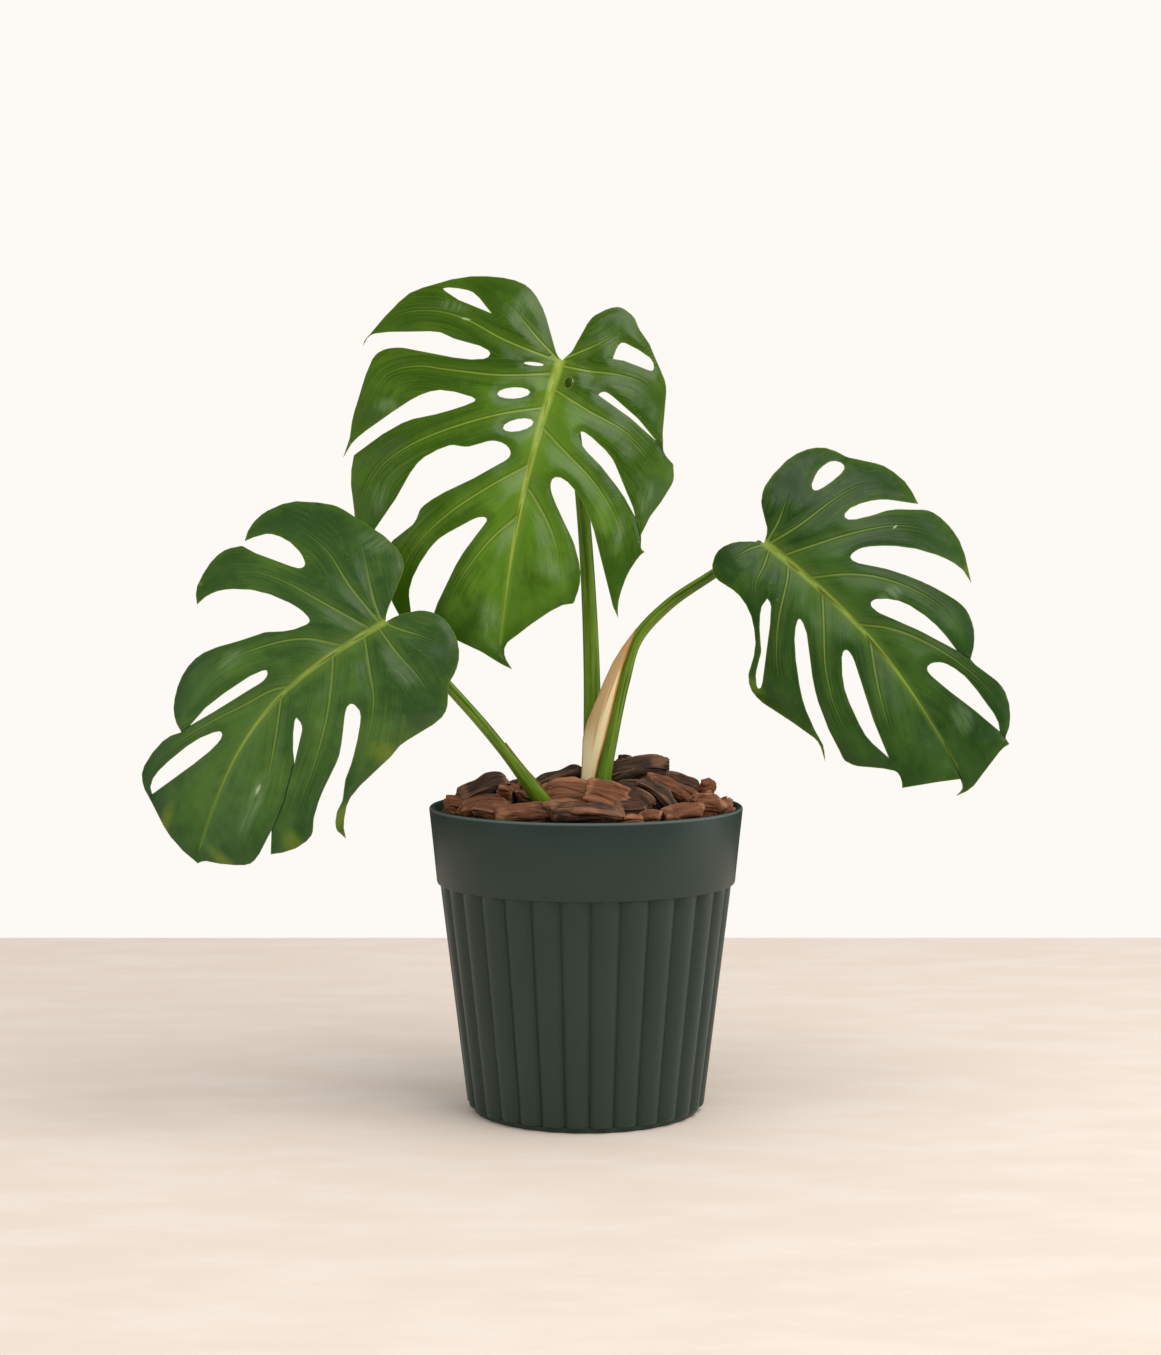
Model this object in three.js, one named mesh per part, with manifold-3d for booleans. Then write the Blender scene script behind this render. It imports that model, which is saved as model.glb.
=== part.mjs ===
// A young monstera in a round ribbed planter, in millimetres, +Z up, its front towards -Y.
//
// The three leaves are drawn as they look from straight in front. Each outline lies on the upright
// plane through the pot's axis, and toSpace carries a drawn point along its line of sight to its depth.

import * as THREE from 'three';
import { mergeVertices } from 'three/addons/utils/BufferGeometryUtils.js';
import Module from 'manifold-3d';

const wasm = await Module();
wasm.setup();

// ---------- Driving dimensions ----------

const EYE = { x: -3.7, z: 380, distance: 1630 };

const GAP = 0.4;

const POT = {
  height: 202,
  rimRadius: 105,
  lip: 3.8,
  lipRound: 1.6,
  bandBottom: 152.4,
  bandBottomRadius: 99.8,
  ribs: 30,
  firstGroove: 7.65,
  sidesPerRib: 3,
  ribRelief: 3.4,
  ribTop: 148.5,
  ribTopRadius: 97.4,
  ribBottom: 6.5,
  ribBottomRadius: 79.6,
  footRadius: 75.5,
  footHeight: 2.5,
  ledge: { in: 2, below: 1.2 },
  wall: 2.9,
  floor: 7,
};

// The pot's inside, from its brim down to its floor.
const INSIDE = {
  brim: { radius: POT.rimRadius - POT.lip, height: POT.height - 3 },
  shoulder: { radius: POT.bandBottomRadius - POT.wall, height: POT.bandBottom + 4 },
  neck: { radius: POT.ribTopRadius - POT.ribRelief - POT.wall, height: POT.ribTop + 1 },
  bottom: { radius: POT.footRadius - POT.wall, height: POT.floor },
};

const SOIL = { top: 172, sides: 48 };

const BARK = {
  middle: 207,
  atWall: 190,
  mound: [0.94, 0.7, 0.4],
  ceiling: 245,
  ceilingInset: 3,
  sides: 40,
  rings: [
    { radius: 18, chips: 3 },
    { radius: 38, chips: 7 },
    { radius: 57, chips: 10 },
    { radius: 75, chips: 13 },
    { radius: 90, chips: 17 },
  ],
  length: [24, 36],
  width: [15, 22],
  thickness: [10, 15],
  jitter: 0.2,
  tilt: 26,
  spread: 0.7,
  wander: 8,
  sink: 4,
  apart: 17,
  seed: 11,
};

const CROWN = { x: 3, y: -2, radius: 18, round: 8, bottom: 112, sides: 16 };

const LEAF = {
  thickness: 0.8,
  grid: 26,
  outlineTolerance: 0.3,
  ribStart: 3,
  ribEnd: 1.1,
  ribReach: 0.92,
  ribBehind: 0.85,
  ribSides: 6,
  ribSteps: 9,
};

// Stalks run from the crown to the leaf base, as points x, y, z with the stalk's radius there. They
// start below the crown's top and are cut off flat just above it.
const STALKS = {
  stalk_tall: [
    { at: [4, 6, 164], radius: 6.3 },
    { at: [4, 6, 215], radius: 6.1 },
    { at: [4, 13, 286], radius: 5.6 },
    { at: [1.5, 24, 350], radius: 4.9 },
    { at: [-2, 31, 400], radius: 4.5 },
    { at: [-7.5, 32, 452], radius: 4.1 },
    { at: [-13, 23.5, 489], radius: 3.8 },
    { at: [-16.8, 11, 503], radius: 3.4 },
  ],
  stalk_right: [
    { at: [10, -9.5, 164], radius: 5.7 },
    { at: [11.6, -8, 219], radius: 5.3 },
    { at: [17.1, -5, 250], radius: 4.8 },
    { at: [25, 0, 286], radius: 4.7 },
    { at: [34, 5, 313], radius: 4.2 },
    { at: [56, 11, 336.5], radius: 3.8 },
    { at: [84, 13, 355.5], radius: 3.4 },
    { at: [108, 8, 371], radius: 3.3 },
    { at: [120, -4, 379], radius: 3.3 },
  ],
  stalk_left: [
    { at: [-4, -5, 164], radius: 6 },
    { at: [-16, -26, 191], radius: 6.6 },
    { at: [-29.1, -40.5, 209.5], radius: 5.7 },
    { at: [-48, -51, 236], radius: 3.9 },
    { at: [-67.3, -60, 261], radius: 3.6 },
    { at: [-88, -67, 285], radius: 3.5 },
    { at: [-112, -75, 312], radius: 3.4 },
    { at: [-130, -84, 326], radius: 3.3 },
  ],
};

const STALK_SIDES = 8;

// How a leaf hangs: the drawn midrib runs from base to end and bows sideways, depth is the base's
// place along Y, lean brings it forwards down its length, hang eases that, tilt turns it about the
// midrib, edge lets its margins fall back over halfWidth, and swell lifts each half beside the midrib.
const TALL_LEAF = {
  form: {
    base: [-17.5, 499.5],
    end: [-58, 305],
    bow: -6,
    depth: 8,
    lean: 0.42,
    hang: 0.12,
    tilt: 0.03,
    edge: 27,
    swell: 5,
    halfWidth: 110,
    reach: { back: -75, ahead: 225, left: -130, right: 130 },
  },
  margin: [
    // From the notch over the left back lobe and down the left side.
    [[-16, 500.5]],
    [[-19.5, 504.5], [-23.5, 518], [-29, 535.5], [-38, 549], [-51, 555], [-71, 557], [-86.5, 555.5],
      [-102, 551.5], [-118, 545.5], [-132, 533], [-143.5, 519.5], [-149, 513], [-151.5, 506.5]],
    [[-146, 516], [-138, 519], [-121.5, 519.5], [-99.5, 519.5], [-88.5, 515], [-71, 510], [-64.5, 505.5],
      [-68.5, 501.5], [-83, 501.5], [-104.5, 505.5], [-125, 509], [-138, 506.5], [-145, 498],
      [-151.5, 478.5], [-156.5, 462], [-158.5, 448.5], [-163, 435]],
    [[-158, 443.5], [-151, 450.5], [-138, 460], [-125, 469], [-111.5, 477], [-98, 480.5], [-83, 478],
      [-74.5, 474.5], [-79, 471], [-98, 465], [-118, 460.5], [-131.5, 454], [-145, 445], [-155.5, 437]],
    [[-157.5, 427], [-157.5, 413.5], [-155.5, 399.5], [-153.5, 366.5]],
    [[-142, 386.5], [-128, 407], [-120, 421.5], [-112, 432.5], [-102.5, 439], [-90.5, 443.5],
      [-79, 442.5], [-63, 446.5], [-53, 443], [-51.5, 435.5], [-64.5, 427.5], [-78, 420], [-95, 412],
      [-110, 402], [-116, 390.5], [-131, 378], [-137, 362.5], [-131, 340.5], [-118.5, 317]],
    [[-117.5, 331.5], [-118.5, 346.5], [-112.5, 362.5], [-100, 379.5], [-84.5, 389], [-72.5, 395],
      [-66.5, 393.5], [-73, 384], [-84, 369], [-93, 352], [-100.5, 335.5], [-104.5, 321]],
    [[-86, 312], [-70.5, 305], [-57.5, 297], [-49.5, 293]],
    // From the tip up the right side.
    [[-54.5, 302], [-53.5, 310], [-44.5, 317.5], [-31, 327.5], [-17.5, 335.5], [-8.5, 337.5]],
    [[-4.5, 348.5], [-4, 361], [-8, 377.5], [-16, 394.5], [-23, 411.5], [-23, 420], [-18, 422],
      [-10.5, 417], [-2.5, 405.5], [4, 390.5], [8.5, 372.5], [13.5, 354], [18, 335.5], [21.5, 327.5]],
    [[22, 339.5], [27.5, 356], [35, 368], [39.5, 372]],
    [[37, 374.5], [37, 383.5]],
    [[43, 395.5], [51.5, 407], [58.5, 419.5], [58.5, 430.5]],
    [[53.5, 436.5], [52, 439.5]],
    [[51.5, 451.5], [53, 468.5], [53.5, 484.5], [47.5, 499.5], [42.5, 511.5], [36, 521], [32, 529.5],
      [23, 536], [13.5, 534.5], [4, 529], [-3.5, 517.5], [-9.5, 506.5], [-16, 500.5]],
  ],
  holes: [
    [[-63.5, 532], [-72.5, 535.5], [-84.5, 540.5], [-92.5, 545.5], [-95.5, 549], [-84.5, 548.5],
      [-75, 545.5], [-68, 537.5]],
    [[18, 501.5], [21.5, 510], [26, 512], [37.5, 506], [44.5, 500], [44.5, 493.5], [35, 496.5], [26, 500]],
    [[47, 446.5], [29.5, 462], [11.5, 475], [8.5, 477.5], [13.5, 479], [24, 471], [36, 460]],
    [[33, 395.5], [30, 401], [23.5, 412], [10, 429.5], [-0.5, 440.5], [-5, 449], [-2, 452.5],
      [7.5, 445.5], [17.5, 434.5], [23, 421.5], [31.5, 401.5]],
  ],
  ovals: [
    { at: [-35, 498], length: 13.4, width: 2.3, turn: -6 },
    { at: [-48.5, 478.5], length: 22, width: 7.5, turn: 3 },
    { at: [-45.5, 457], length: 20.8, width: 8, turn: 12 },
    { at: [-11.5, 485.5], length: 7.2, width: 5.8, turn: 70 },
  ],
};

const LEFT_LEAF = {
  form: {
    base: [-135.5, 324.5],
    end: [-261, 167.5],
    bow: -24.5,
    depth: -86,
    lean: 0.24,
    hang: 0.08,
    tilt: -0.26,
    edge: 20,
    swell: 5,
    halfWidth: 95,
    reach: { back: -75, ahead: 225, left: -125, right: 115 },
  },
  margin: [
    // From the notch over the upper back lobe and down the outer side.
    [[-134.5, 325]],
    [[-133.5, 331.5], [-130, 340.5], [-125, 352.5], [-122, 362.5], [-125.5, 372.5], [-134, 381.5],
      [-144, 388.5], [-156.5, 396.5], [-168.5, 403], [-184, 405.5], [-198, 405.5], [-212, 400.5],
      [-221.5, 393.5], [-227, 385.5], [-229, 379]],
    [[-222, 382], [-212, 384], [-201, 380], [-192.5, 372.5], [-188.5, 364], [-192, 361], [-200, 363],
      [-210.5, 367], [-222.5, 371.5], [-231, 376]],
    [[-241.5, 373.5], [-250, 367], [-257, 357], [-261.5, 346.5], [-261, 336.5]],
    [[-255.5, 341.5], [-245.5, 346], [-231, 347], [-217.5, 345], [-203.5, 340], [-192, 333.5],
      [-185.5, 326.5], [-189, 322.5], [-200.5, 319], [-215.5, 318], [-232, 312.5], [-253, 306],
      [-264.5, 298], [-272.5, 285.5], [-276.5, 270], [-275.5, 259], [-271.5, 251]],
    [[-281.5, 247], [-291, 237], [-297.5, 225.5], [-297, 215], [-292.5, 206]],
    [[-288.5, 198.5], [-281, 184], [-271.5, 172.5], [-260.5, 163]],
    // From the tip back up the inner side.
    [[-255, 164.5], [-244, 162.5], [-227.5, 162], [-220, 168], [-213.5, 180.5], [-211, 185]],
    [[-211.5, 176.5], [-211.5, 169]],
    [[-202, 170.5], [-192, 174.5], [-184, 182], [-182.5, 193.5], [-178, 208], [-171, 223],
      [-165.5, 235.5], [-163, 251], [-161, 266], [-157, 270], [-151.5, 264], [-152.5, 250.5],
      [-157, 231.5], [-161.5, 219], [-163.5, 205], [-167.5, 196], [-167.5, 186], [-161, 179.5]],
    [[-162.5, 188], [-160.5, 201.5], [-155.5, 210.5], [-144, 222.5], [-131, 234.5], [-123.5, 243],
      [-108, 252.5], [-97.5, 260], [-93, 268.5], [-92, 283.5]],
    [[-87, 293], [-85, 304], [-88, 317], [-96.5, 328], [-108, 332.5], [-119.5, 331.5], [-128, 328.5],
      [-134.5, 325]],
  ],
  holes: [
    [[-265.5, 255.5], [-255, 267.5], [-240, 279], [-225.5, 288.5], [-214.5, 292.5], [-216, 286],
      [-230, 277], [-250, 264.5]],
    [[-291, 209.5], [-292, 215], [-288, 223.5], [-273.5, 237], [-259, 247], [-246, 251.5],
      [-245, 246.5], [-254, 237], [-269.5, 225], [-282.5, 216]],
    [[-195.5, 230], [-196.5, 240.5], [-196, 255], [-194, 260.5], [-190.5, 254], [-192.5, 242.5]],
  ],
  ovals: [],
};

const RIGHT_LEAF = {
  form: {
    base: [120, 378],
    end: [252, 222.5],
    bow: 12.3,
    depth: -8,
    lean: 0.2,
    hang: 0.06,
    tilt: 0.24,
    edge: 18,
    swell: 5,
    halfWidth: 85,
    reach: { back: -75, ahead: 225, left: -95, right: 120 },
  },
  margin: [
    // From the notch over the lower back lobe and down the inner side.
    [[119.5, 378]],
    [[110, 379], [98, 378], [88, 372], [84.5, 360.5], [89, 352.5], [101.5, 344], [110, 331],
      [113.5, 314], [112.5, 302], [109, 290], [110.5, 280], [117.5, 271.5], [128, 264.5],
      [143.5, 254], [155.5, 244.5], [160.5, 231]],
    [[159, 242.5], [153.5, 252.5], [146, 270.5], [141.5, 293.5], [140, 315.5], [143, 327], [148, 317],
      [151, 293], [155, 273.5], [163, 252], [173.5, 232]],
    [[180.5, 228.5], [191, 227.5], [207, 225], [211.5, 219], [212, 213.5]],
    [[236, 217.5], [251, 219.5]],
    [[252.5, 213.5], [248, 208]],
    // From the tip up the outer side.
    [[258.5, 213.5], [269, 226.5], [278.5, 239], [284, 243]],
    [[281.5, 247]],
    [[284.5, 258], [283.5, 271.5], [277.5, 283.5], [261, 296.5], [258, 300]],
    [[260, 307.5], [260, 321], [253.5, 335], [237.5, 346], [219.5, 354.5], [200, 361], [182.5, 364.5],
      [177.5, 369], [185, 374.5], [200.5, 376], [218.5, 374.5], [237.5, 369], [251.5, 361], [258.5, 351]],
    [[256, 363], [251.5, 377.5], [243, 390], [231.5, 399], [217.5, 400.5], [203.5, 400], [192, 396.5],
      [178, 393.5], [173.5, 396], [177, 401], [188, 405.5], [200.5, 407], [214, 405], [223, 404]],
    [[218, 413.5], [212, 421], [200, 429.5], [186.5, 433], [175.5, 435.5], [167.5, 439.5],
      [158.5, 442], [147.5, 440.5], [136, 434.5], [125.5, 424], [119.5, 415], [117.5, 405.5],
      [119.5, 396], [121.5, 386.5], [119.5, 378]],
  ],
  holes: [
    [[151.5, 417], [155.5, 426], [164, 432.5], [171.5, 431.5], [173, 427], [166.5, 420.5], [157, 414],
      [152.5, 413.5]],
    [[121.5, 340.5], [117.5, 334], [116.5, 321], [117.5, 305], [114, 290], [115, 281], [118, 283],
      [120.5, 303], [123, 319.5], [124, 335.5]],
    [[248.5, 306], [238, 319.5], [225.5, 330.5], [211.5, 338.5], [197, 340.5], [191, 337.5],
      [196, 331.5], [214.5, 323.5], [234, 314]],
    [[277.5, 251.5], [275.5, 260], [266, 274], [254, 288.5], [241, 297], [231.5, 297], [229.5, 291.5],
      [241.5, 280.5], [261, 265.5]],
    [[203, 234], [198, 246], [192, 261], [185, 284], [178.5, 302], [173.5, 306], [171.5, 298],
      [173.5, 280], [180.5, 262.5], [189, 247]],
  ],
  ovals: [],
};

// The dried sheath is a narrow blade too: its left and right edges run between its foot and its tip.
const SHEATH = {
  form: {
    base: [1, 205],
    end: [33.9, 321.1],
    bow: 6.5,
    depth: -10.5,
    lean: -0.04,
    hang: 0,
    tilt: 0.2,
    edge: 1.5,
    swell: 0,
    halfWidth: 7,
    reach: { back: -25, ahead: 125, left: -10, right: 10 },
  },
  grid: { along: 18, across: 3.4 },
  foot: 192,
  leftEdge: [[-3.4, 217.5], [-2.7, 235.3], [-2, 248], [0.8, 258.5], [5.3, 268.9], [10.5, 281.6],
    [17.2, 296.5], [23.9, 307.7]],
  tip: [33.9, 321.1],
  rightEdge: [[29.1, 306.9], [25, 296.5], [20.9, 280.1], [16.1, 260.7], [12.6, 245.5], [8.6, 231],
    [4.6, 213]],
};

// The dry wing stands on the upper side of the left stalk, drawn like a leaf, and leans with the stalk.
const WING = {
  foot: 205,
  depth: -40,
  lean: -0.385,
  thickness: 1.4,
  outline: [[-57, 243], [-53.6, 244], [-46.6, 234.9], [-39.1, 225.7], [-30.8, 216.5], [-25, 209.3],
    [-29, 208.3], [-36, 217], [-51, 235]],
};

// Bark chips that lie in front and on top: centre, length, width and thickness, and turns in degrees.
const PLACED_CHIPS = [
  { at: [-86, -38, 206.5], size: [14, 11, 9], turn: [20, 15, 30] },
  { at: [-66, -20, 214.5], size: [30, 17, 11], turn: [30, -14, 10] },
  { at: [-51.5, -24, 212], size: [9, 12, 14], turn: [10, 12, -20] },
  { at: [-66, -50, 207], size: [32, 12, 8], turn: [30, -6, 12] },
  { at: [-64, -64, 204.5], size: [17, 12, 9], turn: [20, 12, -15] },
  { at: [-46, 0, 212], size: [19, 15, 13], turn: [15, -20, 20] },
  { at: [-40, -28, 210], size: [14, 11, 9], turn: [25, 12, 0] },
  { at: [-18.5, 12, 218.5], size: [38, 12, 9], turn: [20, -17, -6] },
  { at: [-22, -20, 213.5], size: [16, 9, 7], turn: [10, -36, 0] },
  { at: [-11, -34, 211.5], size: [33, 20, 10], turn: [38, 5, 5] },
  { at: [-32, -81, 205.5], size: [52, 12, 9], turn: [25, 2, 3] },
  { at: [-1, -86, 205.5], size: [44, 12, 9], turn: [18, 4, -4] },
  { at: [14.5, -56, 212], size: [27, 20, 13], turn: [35, 14, -20] },
  { at: [28, -90, 202.5], size: [14, 9, 7], turn: [15, 0, 5] },
  { at: [41, -85, 202.5], size: [14, 9, 7], turn: [15, -8, -5] },
  { at: [28.5, 4, 222.3], size: [43, 15, 12], turn: [25, -12, 6] },
  { at: [25, 26, 229], size: [15, 12, 9], turn: [10, 12, 10] },
  { at: [34.5, -62, 210.5], size: [22, 12, 8], turn: [35, 25, -10] },
  { at: [30, -71, 205.5], size: [16, 12, 10], turn: [20, -10, 10] },
  { at: [46, -46, 211.5], size: [36, 11, 9], turn: [20, 38, -10] },
  { at: [56.5, -22, 212.5], size: [36, 15, 10], turn: [35, 25, 0] },
  { at: [64, 4, 213.5], size: [30, 15, 10], turn: [25, 24, 5] },
  { at: [80.5, -10, 213], size: [8.5, 9, 18], turn: [5, 8, 30] },
  { at: [78, -38, 205.5], size: [19, 13, 10], turn: [25, 5, 20] },
  { at: [89, -28, 203], size: [15, 12, 10], turn: [20, -12, 35] },
  { at: [64, -66, 203], size: [26, 13, 10], turn: [20, -6, 20] },
  { at: [53, -78, 201.5], size: [12, 10, 8], turn: [15, 0, 30] },
  { at: [30, -20, 213], size: [22, 14, 10], turn: [20, 5, 10] },
];

// ---------- Materials, with the colours of the photograph ----------

function finish(name, color, roughness) {
  return new THREE.MeshStandardMaterial({ name, color, roughness, metalness: 0 });
}

const MATERIALS = {
  pot: finish('pot', 0x36443d, 0.45),
  soil: finish('soil', 0x2c211a, 1),
  bark: finish('bark', 0x6b4534, 0.95),
  stem: finish('stem', 0x5a7a2c, 0.5),
  youngLeaf: finish('youngLeaf', 0x3f7316, 0.4),
  grownLeaf: finish('grownLeaf', 0x2f5a26, 0.42),
  sheath: finish('sheath', 0xdcc28e, 0.8),
};

// ---------- Solids ----------

function solidOf(geometry) {
  const bare = geometry.clone();
  bare.deleteAttribute('normal');
  bare.deleteAttribute('uv');
  const merged = mergeVertices(bare, 1e-4);
  const corners = Array.from(merged.index.array);
  const triangles = [];
  for (let i = 0; i < corners.length; i += 3) {
    const [a, b, c] = corners.slice(i, i + 3);
    if (a !== b && b !== c && c !== a) triangles.push(a, b, c);
  }
  const mesh = new wasm.Mesh({
    numProp: 3,
    vertProperties: new Float32Array(merged.attributes.position.array),
    triVerts: new Uint32Array(triangles),
  });
  return new wasm.Manifold(mesh);
}

function geometryOf(solid) {
  const mesh = solid.getMesh();
  const geometry = new THREE.BufferGeometry();
  geometry.setAttribute('position', new THREE.BufferAttribute(mesh.vertProperties, 3));
  geometry.setIndex(new THREE.BufferAttribute(mesh.triVerts, 1));
  geometry.computeVertexNormals();
  return geometry;
}

function largestPiece(solid) {
  return solid.decompose().reduce((best, piece) => (piece.volume() > best.volume() ? piece : best));
}

function moveVertices(geometry, place) {
  const position = geometry.attributes.position;
  const vertex = new THREE.Vector3();
  for (let i = 0; i < position.count; i += 1) {
    vertex.fromBufferAttribute(position, i);
    place(vertex);
    position.setXYZ(i, vertex.x, vertex.y, vertex.z);
  }
  return geometry;
}

function turned(profile, sides) {
  const points = profile.map(([radius, height]) => new THREE.Vector2(radius, height));
  return new THREE.LatheGeometry(points, sides).rotateX(Math.PI / 2);
}

function mesh(name, geometry, material) {
  const piece = new THREE.Mesh(geometry, material);
  piece.name = name;
  return piece;
}

function seededRandom(seed) {
  let state = seed;
  return () => {
    state = (state * 1664525 + 1013904223) % 4294967296;
    return state / 4294967296;
  };
}

// ---------- Leaves ----------

function toSpace(x, z, depth) {
  const growth = 1 + depth / EYE.distance;
  return new THREE.Vector3(EYE.x + (x - EYE.x) * growth, depth, EYE.z + (z - EYE.z) * growth);
}

class Blade {
  constructor(form) {
    this.form = form;
    this.base = new THREE.Vector2(...form.base);
    this.along = new THREE.Vector2(...form.end).sub(this.base);
    this.length = this.along.length();
    this.along.normalize();
    this.across = new THREE.Vector2(-this.along.y, this.along.x);
  }

  // The drawn point at a distance s down the midrib and w to its side.
  drawn(s, w) {
    const bow = this.form.bow * Math.sin((Math.PI * s) / this.length);
    return this.base.clone().addScaledVector(this.along, s).addScaledVector(this.across, w + bow);
  }

  depth(s, w) {
    const { depth, lean, hang, tilt, edge, swell, halfWidth } = this.form;
    const out = Math.abs(w) / halfWidth;
    const downLength = -lean * s + (hang * s * s) / this.length;
    const toMargin = tilt * w + edge * out * out - swell * Math.sin(Math.PI * Math.min(out, 1));
    return depth + downLength + toMargin;
  }

  // How much deeper the blade is cut along the line of sight than across its own thickness.
  slant(s, w) {
    const down = this.depth(s + 0.5, w) - this.depth(s - 0.5, w);
    const side = this.depth(s, w + 0.5) - this.depth(s, w - 0.5);
    return Math.hypot(1, down, side);
  }

  point(s, w, behind = 0) {
    const flat = this.drawn(s, w);
    return toSpace(flat.x, flat.y, this.depth(s, w) + behind * this.slant(s, w));
  }
}

function steps(from, to, size) {
  const count = Math.ceil((to - from) / size);
  return Array.from({ length: count + 1 }, (_, i) => from + ((to - from) * i) / count);
}

// A curved sheet of even thickness over the blade's whole reach, both faces split alike.
function sheet(blade, thickness, grid) {
  const { back, ahead, left, right } = blade.form.reach;
  const rows = steps(back, ahead, grid.along);
  const columns = [...steps(left, 0, grid.across), ...steps(0, right, grid.across).slice(1)];
  const layers = [-thickness / 2, thickness / 2];
  const vertices = layers.flatMap((behind) =>
    rows.flatMap((s) => columns.flatMap((w) => blade.point(s, w, behind).toArray())));
  const id = (layer, i, j) => (layer * rows.length + i) * columns.length + j;
  const triangles = [];
  const quad = (a, b, c, d) => triangles.push(a, b, c, a, c, d);
  for (let i = 1; i < rows.length; i += 1) {
    for (let j = 1; j < columns.length; j += 1) {
      quad(id(0, i - 1, j - 1), id(0, i, j - 1), id(0, i, j), id(0, i - 1, j));
      triangles.push(id(1, i - 1, j - 1), id(1, i, j), id(1, i, j - 1));
      triangles.push(id(1, i - 1, j - 1), id(1, i - 1, j), id(1, i, j));
    }
  }
  const lastRow = rows.length - 1;
  const lastColumn = columns.length - 1;
  for (let i = 1; i < rows.length; i += 1) {
    quad(id(1, i - 1, 0), id(1, i, 0), id(0, i, 0), id(0, i - 1, 0));
    quad(id(0, i - 1, lastColumn), id(0, i, lastColumn), id(1, i, lastColumn), id(1, i - 1, lastColumn));
  }
  for (let j = 1; j < columns.length; j += 1) {
    quad(id(0, 0, j - 1), id(0, 0, j), id(1, 0, j), id(1, 0, j - 1));
    quad(id(0, lastRow, j), id(0, lastRow, j - 1), id(1, lastRow, j - 1), id(1, lastRow, j));
  }
  const geometry = new THREE.BufferGeometry();
  geometry.setAttribute('position', new THREE.BufferAttribute(new Float32Array(vertices), 3));
  geometry.setIndex(triangles);
  return solidOf(geometry);
}

// The points of a smooth line that leave it by less than the tolerance.
function thinned(points, tolerance) {
  const first = points[0];
  const last = points.at(-1);
  const chord = last.clone().sub(first);
  const offsets = points.map((point) => {
    const arm = point.clone().sub(first);
    return chord.length() > tolerance ? Math.abs(chord.cross(arm)) / chord.length() : arm.length();
  });
  const farthest = offsets.indexOf(Math.max(...offsets));
  if (offsets[farthest] < tolerance) return [first, last];
  const before = thinned(points.slice(0, farthest + 1), tolerance);
  return [...before, ...thinned(points.slice(farthest), tolerance).slice(1)];
}

function smoothRun(points) {
  const pointsPerSpan = 8;
  const curve = new THREE.SplineCurve(points.map(([x, z]) => new THREE.Vector2(x, z)));
  return thinned(curve.getPoints((points.length - 1) * pointsPerSpan), LEAF.outlineTolerance);
}

// A closed outline of smooth runs that meet in corners. Each run starts where the one before it ends.
function outline(runs) {
  const points = runs.slice(1).flatMap((run, i) => smoothRun([runs[i].at(-1), ...run]).slice(0, -1));
  return new THREE.Shape(points);
}

function splineHole(points) {
  return new THREE.Path(smoothRun([...points, points[0]]).slice(0, -1));
}

function ovalHole({ at, length, width, turn }) {
  const corners = 12;
  const angle = THREE.MathUtils.degToRad(turn);
  const oval = new THREE.EllipseCurve(...at, length / 2, width / 2, 0, 2 * Math.PI, false, angle);
  return new THREE.Path(oval.getPoints(corners).slice(0, -1));
}

// The outline cut right through along the lines of sight, from near to far, which a slope may bend.
function cutter(shape, near, far, slope = () => 0) {
  const block = new THREE.ExtrudeGeometry(shape, { depth: far - near, bevelEnabled: false });
  block.rotateX(Math.PI / 2).translate(0, far, 0);
  return solidOf(moveVertices(block, (v) => v.copy(toSpace(v.x, v.z, v.y + slope(v.z)))));
}

const SIGHT = { near: -260, far: 160 };

function ribTube(blade, extra) {
  const count = LEAF.ribSteps;
  const radiusAt = (t) => THREE.MathUtils.lerp(LEAF.ribStart, LEAF.ribEnd, t);
  const points = Array.from({ length: count + 1 }, (_, i) => {
    const t = i / count;
    return {
      at: blade.point(t * LEAF.ribReach * blade.length, 0, radiusAt(t) * LEAF.ribBehind).toArray(),
      radius: radiusAt(t) + extra,
    };
  });
  return bentTube(points, LEAF.ribSides, count);
}

const LEAF_GRID = { along: LEAF.grid, across: LEAF.grid };

function leafSolid({ form, margin, holes, ovals }) {
  const blade = new Blade(form);
  const shape = outline(margin);
  shape.holes = [...holes.map(splineHole), ...ovals.map(ovalHole)];
  const lamina = sheet(blade, LEAF.thickness, LEAF_GRID).intersect(cutter(shape, SIGHT.near, SIGHT.far));
  return lamina.add(ribTube(blade, 0));
}

// What the stalk must leave free behind its leaf.
function leafClearance({ form }) {
  const blade = new Blade(form);
  const thick = LEAF.thickness + 2 * GAP;
  return sheet(blade, thick, LEAF_GRID).add(ribTube(blade, GAP));
}

// ---------- Stalks ----------

// A tube that follows its points with a changing radius, closed at both ends.
function bentTube(points, sides, count, extra = 0) {
  const curve = new THREE.CatmullRomCurve3(points.map(({ at }) => new THREE.Vector3(...at)));
  const radii = new THREE.SplineCurve(points.map(({ radius }, i) => new THREE.Vector2(i, radius + extra)));
  const frames = curve.computeFrenetFrames(count);
  const places = curve.getSpacedPoints(count);
  const tube = new THREE.CylinderGeometry(1, 1, 1, sides, count);
  moveVertices(tube, (v) => {
    const t = v.y + 0.5;
    const i = Math.round(t * count);
    const radius = radii.getPoint(curve.getUtoTmapping(t)).y;
    const side = frames.normals[i].clone().multiplyScalar(v.x * radius);
    const front = frames.binormals[i].clone().multiplyScalar(-v.z * radius);
    v.copy(places[i]).add(side).add(front);
  });
  return solidOf(tube);
}

// The space above the soil, which ends the stalks flat just over the crown.
function aboveSoil() {
  const size = 4 * POT.rimRadius;
  const box = new THREE.BoxGeometry(size, size, size);
  return solidOf(box.translate(0, 0, SOIL.top + GAP + size / 2));
}

function stalkSolid(name, extra = 0) {
  const stepsPerPoint = 2;
  const points = STALKS[name];
  return bentTube(points, STALK_SIDES, (points.length - 1) * stepsPerPoint, extra).intersect(aboveSoil());
}

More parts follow.
